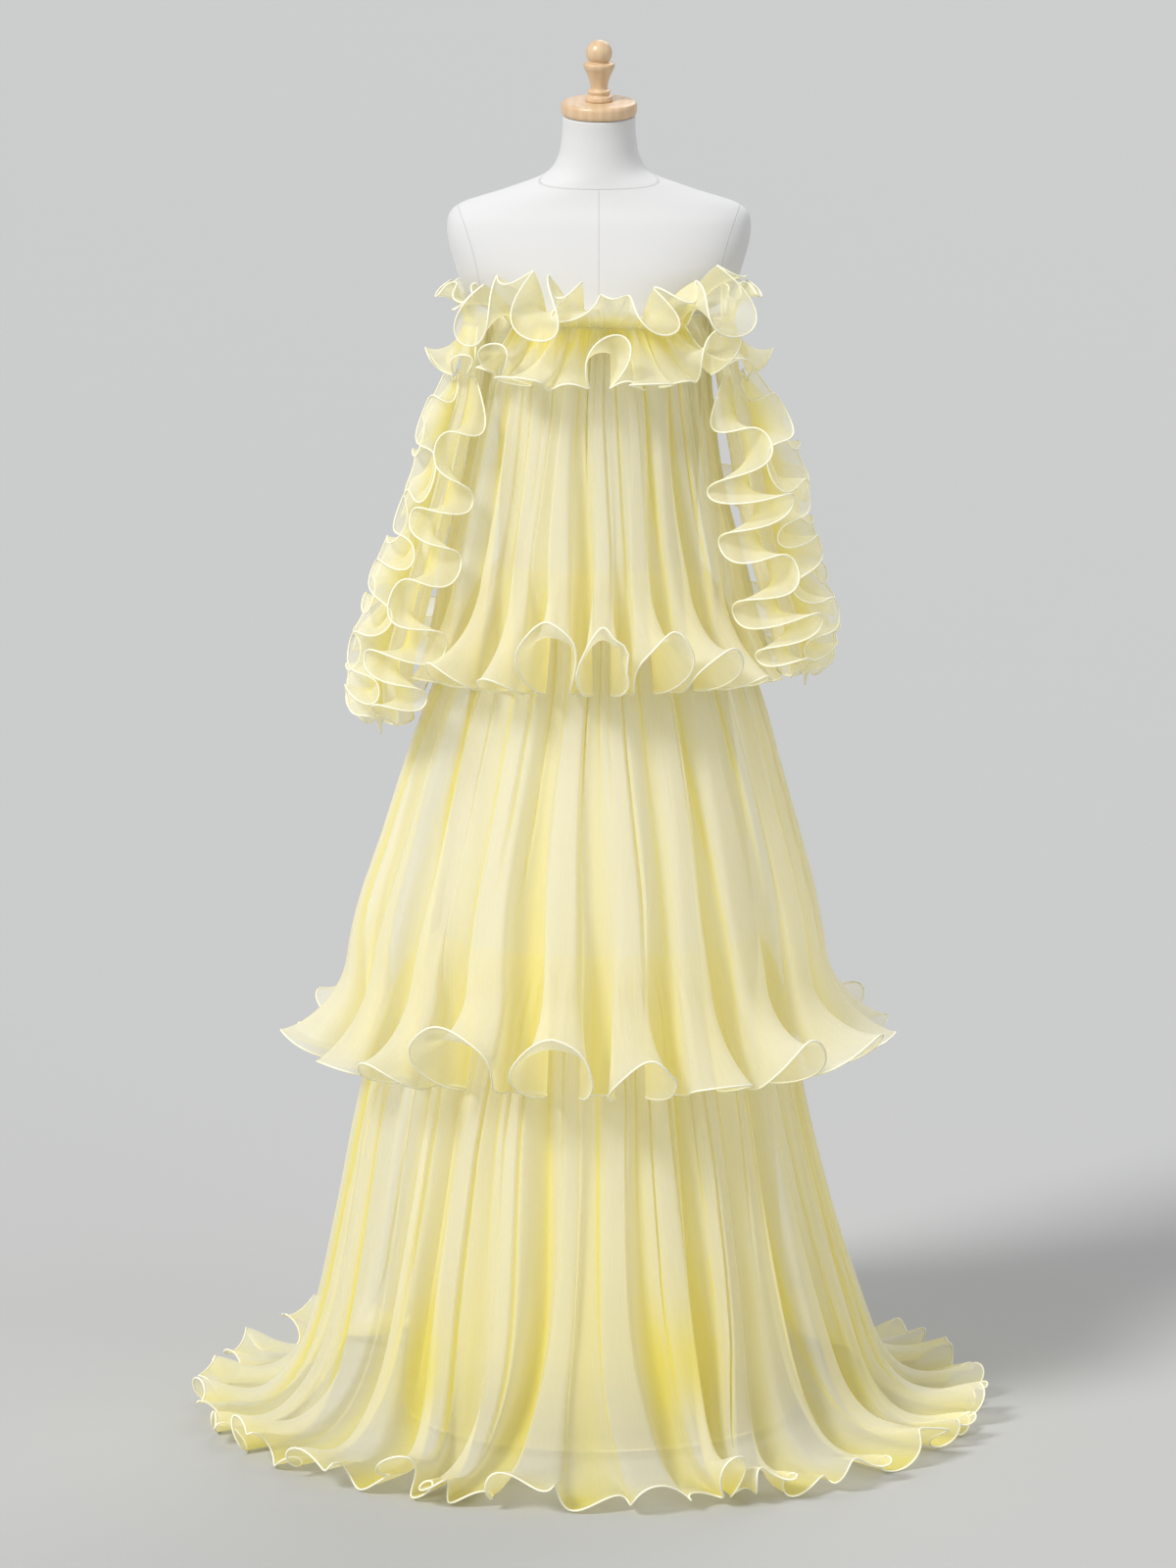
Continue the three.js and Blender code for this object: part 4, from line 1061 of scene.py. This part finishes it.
@dataclass(frozen=True)
class Pleats:
    """The fine pleats between the folds: each a slow ramp up and a sharp drop, to one side or the other.

    They are unevenly wide, drift a little aside on their way down, and each has its own height,
    side and length, worked out from its number.
    """

    side_seed: float
    per_fold: float = 2.8
    spacing: tuple[Wobble, Wobble] = (Wobble(0.35, 1.9, 1.7), Wobble(0.22, 4.7, 0.6))
    drift: Wobble = Wobble(0.5, 1.3)
    crest: float = 0.84
    side: Wobble = Wobble(1, 2.3)
    height: Wobble = Wobble(1, 2.9, 1.3)
    ending: Wobble = Wobble(0.28, 1.7, 0.4)

    def at(self, place: Array, t: Array) -> tuple[Array, Array]:
        """The pleats' relief and painted shade.

        Args:
            place: Places in folds.
            t: Shares of the way down.

        Returns:
            How far the cloth stands out, as a share of the full height, and its painted shade: most at each
            pleat's foot, less up its ramp.
        """
        run = self.per_fold * place + sum(wobble.at(place) for wobble in self.spacing)
        run = run + t * self.drift.at(place, 2.5 * t)
        number = np.floor(run)
        across = run - number
        across = np.where(self.side.at(number, self.side_seed) > 0, across, 1 - across)
        rising = (across / self.crest) ** 0.7
        ramp = np.where(across < self.crest, rising, 1 - smooth(self.crest, 1, across))
        height = 0.35 + 0.65 * self.height.at(number) ** 2
        end = 0.7 + self.ending.at(number)
        share = smooth(0, 0.06, t) * (1 - smooth(end - 0.3, end, t))
        foot = smooth(self.crest, 0.98, across) + (1 - smooth(0, 0.1, across))
        return ramp * height * share, foot * share * (0.4 + 0.6 * height) - 0.15 * ramp * share


# Round places on the lowest tier that get painted shade: angle, share of the way down and strength.
HOLLOW_SHADE_SPOTS = Table(
    ("at", "t", "strength"),
    (
        (-38, 0.64, 1.0),
        (19, 0.6, 0.9),
        (66, 0.7, 0.6),
        (128, 0.62, 0.8),
        (203, 0.66, 0.9),
        (246, 0.6, 0.6),
    ),
)


def hollow_shade(angle: Array, t: Array, around: float = 7 * DEGREE, down: float = 0.09) -> Array:
    """Painted shade in soft round hollows of the lowest tier above the floor."""
    spots = [
        strength * np.exp(-(((angle - at * DEGREE) / around) ** 2) - ((t - middle) / down) ** 2)
        for at, middle, strength in HOLLOW_SHADE_SPOTS.rows
    ]
    return np.sum(spots, axis=0)


@dataclass
class Tier:
    """One gathered tier of the skirt, in a front and a back panel."""

    name: str
    levels: Table
    front: Table
    back: Table
    lip: float
    rows: int
    finishes: Finishes
    gathers: float
    length: float
    widths: tuple[float, float]
    puddle: float = 0
    columns_per_fold: int = 48
    hem_radius: float = 1.3
    side_share: float = 0.2
    overhang: float = 2.2
    seam_gap: float = 0.3
    swirl: Wobble = Wobble(5 * DEGREE, 1.7, 0.8)
    sway: Wobble = Wobble(1.3 * DEGREE, 1.9)
    merging: Wobble = Wobble(0.5, 2.4)
    lettuce_waves: float = 2.4
    lettuce_spacing: Wobble = Wobble(0.35, 1.9)
    lettuce_lift: float = 10
    lettuce_reach: float = 9
    lip_opening: Wobble = Wobble(0.9, 2.3)
    grooves_end: tuple[float, float] = (0.62, 0.92)
    groove_sharpness: float = 0.8
    most_merged: float = 0.88
    puddle_from: float = 0.8
    full_lift: float = 40

    def drape(self, folds: Folds, place: Array, t: Array) -> tuple[Array, Array]:
        """The cloth before its hem turns out.

        Its distance is the level's reach, less the fold's depth times the level's share times
        (1 - cos phase) / 2, plus the fine pleats. Above the hem that term is sharpened, for
        broad panels between narrow grooves, and some grooves are shallower, so that neighbours
        merge. Its angle is the fold's centre plus the half width times the phase, closed by the
        curl times t times sin 2 phase. A tier that lies on the floor also swirls and ripples there.

        Args:
            folds: The panel's folds.
            place: Places in folds, one column each.
            t: Shares of the way down.

        Returns:
            The points, and the painted shade of each.
        """
        fold = folds.at(place)
        level = self.levels.level("at", t)
        closing = self.overhang * fold["curl"] * t * t * np.sin(2 * fold["phase"])
        from_seams = np.sin(np.pi * place / len(folds.table.rows))
        swirl = self.puddle * self.swirl.at(place) * smooth(0.5, 0.95, t)
        sway = self.sway.at(place, 5.5 * t) * smooth(0, 0.3, t) * (1 - smooth(0.6, 0.85, t))
        aside = (swirl + sway) * from_seams
        angle = fold["centre"] + fold["half"] * (fold["phase"] + closing) / np.pi + aside
        above = 1 - smooth(*self.grooves_end, t)
        down = ((1 - np.cos(fold["phase"])) / 2) ** (1 + self.groove_sharpness * above)
        merged = above * np.clip(0.42 + self.merging.at(place + 0.5, self.length * 9), 0, self.most_merged)
        valley = fold["depth"] * level["pleat"] * down * (1 - merged)
        relief, shade = Pleats(self.length * 7).at(place, t)
        lettuce = self.puddle * smooth(self.puddle_from, 1, t)
        turn = 2 * np.pi * (self.lettuce_waves * place + self.lettuce_spacing.at(place))
        ripple = np.sin(turn)
        lifted = level["rise"] * fold["lift"] / self.full_lift * (1 - down)
        lifted = lifted + self.lettuce_lift * lettuce * (1 + ripple)
        distance = reach(level, angle) - valley + self.gathers * relief
        distance = distance + self.lettuce_reach * lettuce * np.sin(turn + 1.3)
        points = outward(angle) * distance[..., None]
        points[..., 2] = level["z"] + lifted
        # Painted shade: deeper, darker yellow in the fold valleys, at the pleats' feet, below the gathered
        # top, over the whole lowest tier, in its round hollows and in the troughs of its lettuce waves.
        depth = 0.9 * down**1.6 * level["pleat"] ** 0.6 * (1 - 0.6 * merged) + 0.1 * self.puddle + shade
        depth = depth + 0.3 * (1 - smooth(0, 0.14, t)) + self.puddle * hollow_shade(angle, t)
        return points, depth + 0.3 * lettuce * (1 - ripple)

    def lip_direction(self, folds: Folds, place: Array, t: Array) -> Array:
        """Where the hem turns: between straight outwards and square to the fold's own side."""
        step = 0.01
        plain = self.drape(folds, place + step, t)[0] - self.drape(folds, place - step, t)[0]
        side = unit(plain * np.array([1, 1, 0]))
        across = np.stack([side[..., 1], -side[..., 0], np.zeros_like(side[..., 0])], axis=-1)
        middle = unit(self.drape(folds, place, t)[0] * np.array([1, 1, 0]))
        mixed = unit(middle * (1 - self.side_share) + across * self.side_share)
        fold = folds.at(place)
        turn = fold["turn"] * DEGREE * (1 + np.cos(fold["phase"])) / 2
        cos, sin = np.cos(turn), np.sin(turn)
        x = mixed[..., 0] * cos - mixed[..., 1] * sin
        y = mixed[..., 0] * sin + mixed[..., 1] * cos
        return np.stack([x, y, mixed[..., 2]], axis=-1)

    def panel(self, part: str, table: Table, start: float, end: float) -> tuple[Array, Array]:
        """A panel's grid of points and the painted shade of each, its lips on arcs that bend outwards."""
        folds = Folds(table, start, end)
        count = len(table.rows)
        place = np.linspace(0, count, count * self.columns_per_fold + 1)[:, None]
        place = np.clip(place, 1e-6, count - 1e-6)
        length = self.levels.rows[0][1] - self.levels.rows[-1][1]
        begin = 1 - self.lip / length
        t = np.concatenate([np.linspace(0, 0.12, 12), np.linspace(0.12, 1, self.rows)[1:]])[None, :]
        fold = folds.at(place)
        if self.lip == 0:
            grid, depth = self.drape(folds, place, t)
        else:
            opening = 1.7 + self.lip_opening.at(np.floor(place), self.length * 5)
            bell = ((1 + np.cos(fold["phase"])) / 2) ** opening
            bend = np.maximum(fold["lift"] * bell, 1) * DEGREE
            s = np.clip((t - begin) / (1 - begin), 0, 1)
            down = self.lip / bend * np.sin(bend * s)
            out = self.lip / bend * (1 - np.cos(bend * s))
            grid, depth = self.drape(folds, place, np.where(t < begin, t, begin + down / length))
            grid = grid + self.lip_direction(folds, place, np.full_like(place, begin)) * out[..., None]
        edge = self.seam_gap / 2 if part == "back" else -self.seam_gap / 2
        blend = np.clip(np.minimum(place, count - place) * self.columns_per_fold, 0, 3)[..., None] / 3
        seamed = grid.copy()
        seamed[..., 1] = edge
        grid = np.where(np.array([False, True, False]), seamed * (1 - blend) + grid * blend, grid)
        return grid, depth

    def build(self) -> None:
        """Makes both panels and their rolled hems."""
        sides = (("front", self.front, -90, 90), ("back", self.back, 90, 270))
        for width, (part, table, start, end) in zip(self.widths, sides):
            node = f"{self.name}_{part}"
            grid, depth = self.panel(part, table, start, end)
            cloth = Surface.from_grid(grid, depth).build(f"{node}_organza", self.finishes.tier)
            settle(cloth, "organza", node)
            roll = tube(grid[:, -1], grid_normals(grid, False)[:, -1], self.hem_radius)
            hem = roll.build(f"{node}_rolled_hem", self.finishes.hem)
            settle(hem, "organza")


def ruffle_pieces(name: str, grid: Array, depth: Array, finishes: Finishes) -> None:
    """Builds one ruffle's cloth and the rolled hem round its three free edges.

    Args:
        name: The node that it stands for.
        grid: The strip's points in millimetres.
        depth: The painted shade of each point, how deep it lies.
        finishes: The object's materials.
    """
    cloth = Surface.from_grid(grid, depth).build(f"{name}_organza", finishes.ruffle)
    settle(cloth, "organza", name)
    normals = grid_normals(grid, False)
    path = np.concatenate([grid[0, :-1], grid[:, -1], grid[-1, -2::-1]])
    sides = np.concatenate([normals[0, :-1], normals[:, -1], normals[-1, -2::-1]])
    hem = tube(path, sides, 1.2).build(f"{name}_rolled_hem", finishes.hem)
    settle(hem, "organza")
    diagonals = np.cross(grid[1:, 1:] - grid[:-1, :-1], grid[1:, :-1] - grid[:-1, 1:])


@dataclass
class NeckRuffle:
    """A ruffle sewn round the top of the first tier, each of its waves with a form of its own."""

    name: str
    z: float
    up: int
    folds: Folds
    lean: float = 10
    rest: float = 22
    overhang: float = 1.25
    columns_per_wave: int = 64
    rows: int = 28
    seat: float = 1.75
    gathers: float = 4
    gathers_per_wave: float = 4.3
    spacing: tuple[Wobble, Wobble] = (Wobble(0.5, 2.3, 1), Wobble(0.3, 5.1))
    lobes_between: float = 0.5
    lobe_size: Wobble = Wobble(0.5, 3.1)
    droop: float = 1.2

    def grid(self) -> tuple[Array, Array]:
        """Points on the first tier's reach, moved out and up or down along each wave's arc.

        The cloth leaves the seam at a lean and goes on along an arc, shorter and bent less at the
        valleys than at the ridges, with fine gathers that fade away from the seam. Its angle is
        the wave's centre plus the half width times the phase, closed by the curl times t times
        sin 2 phase, and the ridge is turned aside towards its free edge. A smaller lobe stands in
        each valley between two ridges.

        Returns:
            The points, and the painted shade of each: most at the seam, in the gathers and in the valleys.
        """
        count = len(self.folds.table.rows)
        place = np.linspace(0, count, count * self.columns_per_wave + 1)[:, None]
        place = np.clip(place, 1e-6, count - 1e-6)
        t = np.linspace(0, 1, self.rows)[None, :]
        wave = self.folds.at(place)
        ridge = (1 + np.cos(wave["phase"])) / 2
        between = ((1 + np.cos(2 * wave["phase"])) / 2) ** 2 * (np.abs(wave["phase"]) > np.pi / 2)
        ridge = ridge + self.lobes_between * between * (1 + self.lobe_size.at(place, self.z))
        length = wave["length"] * (wave["valley"] + (1 - wave["valley"]) * ridge)
        bend = (self.rest + (wave["bend"] * self.droop - self.rest) * ridge) * DEGREE
        lean = (self.lean + (wave["lean"] - self.lean) * ridge) * DEGREE
        out = length / bend * (np.cos(lean) - np.cos(lean + bend * t))
        along = length / bend * (np.sin(lean + bend * t) - np.sin(lean))
        closing = self.overhang * wave["curl"] * t * np.sin(2 * wave["phase"])
        turned = wave["turn"] * DEGREE * ridge * t * t
        angle = wave["centre"] + wave["half"] * (wave["phase"] + closing) / np.pi + turned
        z = self.z + self.up * along
        under = np.minimum(np.full_like(z, self.z) if self.up > 0 else z, TIER_1_LEVELS.rows[0][1])
        wander = self.gathers_per_wave * place + sum(wobble.at(place) for wobble in self.spacing)
        fine = (0.5 + 0.5 * np.cos(2 * np.pi * wander)) ** 1.5
        near = smooth(0, 0.08, t) * (1 - smooth(0.15, 0.8, t))
        distance = reach(TIER_1_LEVELS.level("z", under), angle) + self.seat + out
        points = outward(angle) * (distance + self.gathers * fine * near)[..., None]
        points[..., 2] = z
        # Painted shade at the seam and in the gathers, and more in the valleys between ridges.
        painted_seam_shade = 0.55 * (1 - smooth(0, 0.55, t)) + 0.4 * (1 - fine) * near
        return points, painted_seam_shade + 0.75 * (1 - ridge) ** 1.5 * (1 - 0.5 * t)

    def build(self, finishes: Finishes) -> None:
        """Makes the strip and its hem."""
        grid, depth = self.grid()
        carrier = "tier_1_front_organza" if self.folds.start < 90 else "tier_1_back_organza"
        ruffle_pieces(f"neck_ruffle_{self.name}", grid, depth, finishes)


@dataclass(frozen=True)
class SleeveRuffle:
    """A row of ruffle that is sewn round a sleeve, its free edge opening in waves."""

    z: float
    up: int
    length: float
    rest: float
    swing: float
    seat: float
    start: float
    end: float
    waves: int = 3
    curl: float = 0.62
    columns_per_wave: int = 40
    rows: int = 22
    unevenness: float = 0.12
    size: Wobble = Wobble(0.1, 2.1)
    lean: Wobble = Wobble(0.16, 1.7)

    def grid(self, sleeve: Sleeve) -> tuple[Array, Array]:
        """Points on the sleeve's tube, moved out and up or down along an arc.

        The arc's bend is most at the ridges. The angle runs evenly along the strip, closed into
        flutes by the curl times sin 2 phase, and leans a little aside.

        Args:
            sleeve: The sleeve that carries the ruffle.

        Returns:
            The points, and the painted shade of each: most at the seam and in the valleys.
        """
        place = np.linspace(0, self.waves, self.waves * self.columns_per_wave + 1)[:, None]
        t = np.linspace(0, 1, self.rows)[None, :]
        share = place / self.waves
        uneven = self.unevenness * np.sin(4 * np.pi * share + self.z) * np.sin(np.pi * share)
        phase = 2 * np.pi * place - np.pi
        ridge = (1 + np.cos(phase)) / 2
        bend = (self.rest + self.swing * (1 + self.size.at(place, self.z)) * ridge) * DEGREE
        closing = self.curl * t * np.sin(2 * phase) / (2 * np.pi)
        aside = self.lean.at(place, self.z) * t * t * ridge
        shares = share + (uneven + closing + aside) / self.waves
        angle = (self.start + (self.end - self.start) * shares) * DEGREE
        out = self.length / bend * (1 - np.cos(bend * t))
        z = self.z + self.up * self.length / bend * np.sin(bend * t)
        points = sleeve.point(angle, np.minimum(z, sleeve.levels.rows[0][0]), self.seat + out)
        points[..., 2] = z
        # Painted shade, most at the seam and in the valleys.
        return points, 0.75 * (1 - smooth(0, 0.75, t)) + 0.5 * (1 - ridge) * (1 - 0.5 * t)


@dataclass(frozen=True)
class Frill:
    """A frill sewn down a sleeve, its free edge swaying from side to side."""

    base: float
    towards: float
    seat: float
    sway: float
    lag: float
    share: float
    top: float = 1362
    waves: int = 5
    curl: float = 0.55
    droop: float = 0.2
    sag: float = 12
    stretch: float = 0.25
    columns_per_wave: int = 44
    rows: int = 20
    end_rounding: float = 0.55
    end_width: float = 0.14
    spacing: Wobble = Wobble(0.09, 2.7)
    curling: Wobble = Wobble(0.5, 1.9)
    swaying: Wobble = Wobble(0.24, 3.4)

    def own(self, rate: float) -> float:
        """A start for a wobble, this frill's own."""
        return rate * self.lag + self.base

    def grid(self, sleeve: Sleeve) -> tuple[Array, Array]:
        """Points on arcs out of the seam, the arc's bend following a sine wave down the sleeve.

        Args:
            sleeve: The sleeve that carries the frill.

        Returns:
            The points, and the painted shade of each: most at the seam.
        """
        place = np.linspace(0, self.waves, self.waves * self.columns_per_wave + 1)[:, None]
        t = np.linspace(0, 1, self.rows)[None, :]
        phase = 2 * np.pi * (place + self.lag + self.spacing.at(place, self.own(9)))
        curl = self.curl * (1 + self.curling.at(place, self.own(4)))
        down = (place - curl * t * np.sin(2 * phase) / (2 * np.pi)) / self.waves
        stretched = down * (1 + self.stretch * (1 - down))
        z = self.top + (sleeve.levels.rows[-1][0] + 1.5 - self.top) * stretched
        lean = self.sway * DEGREE * np.sin(phase) * (1 + self.swaying.at(place, self.own(5)))
        bend = np.maximum(np.abs(lean), DEGREE)
        from_end = np.minimum(place, self.waves - place) + self.end_width
        ends = smooth(0, self.end_rounding, from_end)
        width = self.share * sleeve.levels.read("z", z, "frill") * ends
        out = width / bend * np.sin(bend * t)
        aside = np.sign(lean) * width / bend * (1 - np.cos(bend * t))
        turn = self.towards * DEGREE
        side = sleeve.outer()
        towards = np.array([side * math.cos(turn), -math.sin(turn), 0])
        across = np.array([-side * math.sin(turn), -math.cos(turn), 0])
        seam = sleeve.point(np.full_like(z, self.base * DEGREE), z, 0)
        points = seam + towards * (self.seat + out)[..., None] + across * aside[..., None]
        points[..., 2] = z - self.droop * out * t - self.sag * np.sin(phase) * t * t
        # Painted shade: most at the seam, and a little more where the frill swings through straight out.
        depth = 0.9 * (1 - smooth(0, 0.95, t)) + 0.25 * (1 - np.abs(np.sin(phase))) * (1 - t)
        return points, depth


@dataclass
class Sleeve:
    """An off-shoulder sleeve: a hanging tube with two short ruffles and five frills down it."""

    side: str
    levels: Table
    finishes: Finishes
    sides: int = 84
    rows: int = 90
    hem_radius: float = 1.2
    flat: tuple[float, float] = (0.32, 0.53)
    area: float = 0.12

    def outer(self) -> float:
        """1 where the outer side faces +X and -1 where it faces -X."""
        return math.copysign(1, self.levels.rows[0][1])

    def point(self, angle: Array, z: Array, grow: Array | float) -> Array:
        """A place on an elliptical level, grown by a distance; 0 is the outer side and 90 the front."""
        level = self.levels.level("z", z)
        x = level["x"] + self.outer() * (level["across"] + grow) * np.cos(angle)
        y = level["y"] - (level["along"] + grow) * np.sin(angle)
        return np.stack([x, y, np.broadcast_to(z, x.shape)], axis=-1)

    def tube_grid(self) -> Array:
        """The tube's rings, with soft gathers that fade downwards."""
        z = np.linspace(self.levels.rows[0][0], self.levels.rows[-1][0], self.rows)[None, :]
        angle = -self.outer() * 2 * np.pi * np.arange(self.sides)[:, None] / self.sides
        down = np.linspace(0, 1, self.rows)[None, :]
        folds = 1.1 * np.cos(13 * angle + 2 * np.sin(5 * down)) * (1 - 0.5 * down)
        return self.point(angle, z, folds - 1.0)

    def ruffles(self) -> list[SleeveRuffle]:
        """The two short rows of ruffle round the top."""
        made = []
        for *sizes, back, front in SLEEVE_ROWS.rows:
            start, end = (back, front) if self.outer() < 0 else (front, back)
            made.append(SleeveRuffle(*sizes, start, end))
        return made

    def build(self) -> None:
        """Makes the tube, its cuff's rolled hem and the rows of ruffle."""
        name = f"sleeve_{self.side}"
        grid = self.tube_grid()
        cloth = Surface.from_grid(grid, 0.3, closed=True).build(f"{name}_organza", self.finishes.tier)
        settle(cloth, "organza", name)
        normals = grid_normals(grid, True)
        rolls = [tube(grid[:, row], normals[:, row], self.hem_radius, closed=True) for row in (0, -1)]
        hem = Surface.joined(rolls).build(f"{name}_rolled_hems", self.finishes.hem)
        settle(hem, "organza")
        strips = self.ruffles() + [Frill(*row) for row in FRILLS.rows]
        for number, strip in enumerate(strips, start=1):
            points, depth = strip.grid(self)
            ruffle_pieces(f"{name}_ruffle_{number}", points, depth, self.finishes)


@dataclass
class Dress:
    """The whole dress over its form."""

    finishes: Finishes

    def tiers(self) -> list[Tier]:
        """The three tiers from the top down."""
        rows = (
            ("tier_1", TIER_1_LEVELS, TIER_1_FRONT, TIER_1_BACK, 118, 60, (8.0, 0.48, (0.9, 0.78))),
            ("tier_2", TIER_2_LEVELS, TIER_2_FRONT, TIER_2_BACK, 128, 76, (10.0, 0.68, (1.16, 1.1))),
            ("tier_3", TIER_3_LEVELS, TIER_3_FRONT, TIER_3_BACK, 0, 92, (10.5, 0.86, (1.4, 1.3))),
        )
        return [
            Tier(*shape, lip, count, self.finishes, *cut, puddle=float(lip == 0))
            for *shape, lip, count, cut in rows
        ]

    def neck_ruffles(self) -> list[NeckRuffle]:
        """The standing and the hanging strip, in front and behind."""
        return [
            NeckRuffle("upper_front", 1426.8, 1, Folds(NECK_UPPER_FRONT, -56, 56)),
            NeckRuffle("upper_back", 1426.8, 1, Folds(NECK_UPPER_BACK, 138, 222)),
            NeckRuffle("lower_front", 1426.2, -1, Folds(NECK_LOWER_FRONT, -54, 54)),
            NeckRuffle("lower_back", 1426.2, -1, Folds(NECK_LOWER_BACK, 131, 229)),
        ]

    def build(self) -> None:
        """Makes the slip, tiers, ruffles and sleeves."""
        Slip(self.finishes).build()
        for tier in self.tiers():
            tier.build()
        for ruffle in self.neck_ruffles():
            ruffle.build(self.finishes)
        Sleeve("left", SLEEVE_LEFT, self.finishes).build()
        Sleeve("right", SLEEVE_RIGHT, self.finishes).build()


@dataclass(frozen=True)
class Sun:
    """Parallel soft light. The azimuth is 0 from the front and 90 from the right, all in degrees."""

    name: str
    azimuth: float
    height: float
    softness: float
    strength: float

    def build(self) -> None:
        """Makes the lamp."""
        data = bpy.data.lights.new(self.name, "SUN")
        data.angle, data.energy = self.softness * DEGREE, self.strength
        lamp = bpy.data.objects.new(self.name, data)
        bpy.context.scene.collection.objects.link(lamp)
        lamp.rotation_euler = ((90 - self.height) * DEGREE, 0, self.azimuth * DEGREE)


@dataclass(frozen=True)
class Studio:
    """The pale floor, the soft lights and the camera."""

    suns: tuple[Sun, ...] = (
        Sun("key", -44, 40, 16, 2.7),
        Sun("fill", 50, 30, 50, 0.5),
        Sun("back", 160, 40, 40, 0.8),
    )
    sky: Colour = (0.95, 0.97, 1.0, 1)
    sky_strength: float = 0.48
    floor_radius: float = 260
    floor_sides: int = 96
    camera_place: tuple[float, float, float] = (-0.01395, -7.0, 1.92)
    camera_pitch: float = 8.85
    lens: float = 126
    film_width: float = 36
    clear_layers: int = 40

    def floor(self) -> None:
        """A wide disc in rings that grow outwards."""
        angle = 2 * np.pi * np.arange(self.floor_sides)[:, None] / self.floor_sides
        radius = np.geomspace(1, self.floor_radius / MM, 40)[None, ::-1]
        grid = outward(angle) * radius[..., None]
        Surface.from_grid(grid, closed=True).build("studio_floor", PaleFloor().material())

    def world(self) -> None:
        """Even light from all round, faintly cool."""
        world = bpy.data.worlds.new("studio")
        world.use_nodes = True
        sky = world.node_tree.nodes["Background"]
        sky.inputs["Color"].default_value = self.sky
        sky.inputs["Strength"].default_value = self.sky_strength
        bpy.context.scene.world = world

    def camera(self) -> None:
        """The camera at the photo's angle."""
        data = bpy.data.cameras.new("photo_view")
        data.lens, data.sensor_width = self.lens, self.film_width
        data.clip_end = 1000
        camera = bpy.data.objects.new("photo_view", data)
        bpy.context.scene.collection.objects.link(camera)
        camera.location = self.camera_place
        camera.rotation_euler = ((90 - self.camera_pitch) * DEGREE, 0, 0)
        bpy.context.scene.camera = camera

    def build(self) -> None:
        """Makes the floor, the lights, the world and the camera, with neutral colours."""
        self.floor()
        for sun in self.suns:
            sun.build()
        self.world()
        self.camera()
        bpy.context.scene.view_settings.view_transform = "Standard"
        bpy.context.scene.cycles.transparent_max_bounces = self.clear_layers


def main() -> None:
    """Builds every piece and the studio."""
    logging.basicConfig(level=logging.INFO, format="%(message)s")
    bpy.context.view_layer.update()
    finishes = Finishes()
    DressForm(finishes).build()
    Dress(finishes).build()
    Studio().build()


if __name__ == "__main__":
    main()
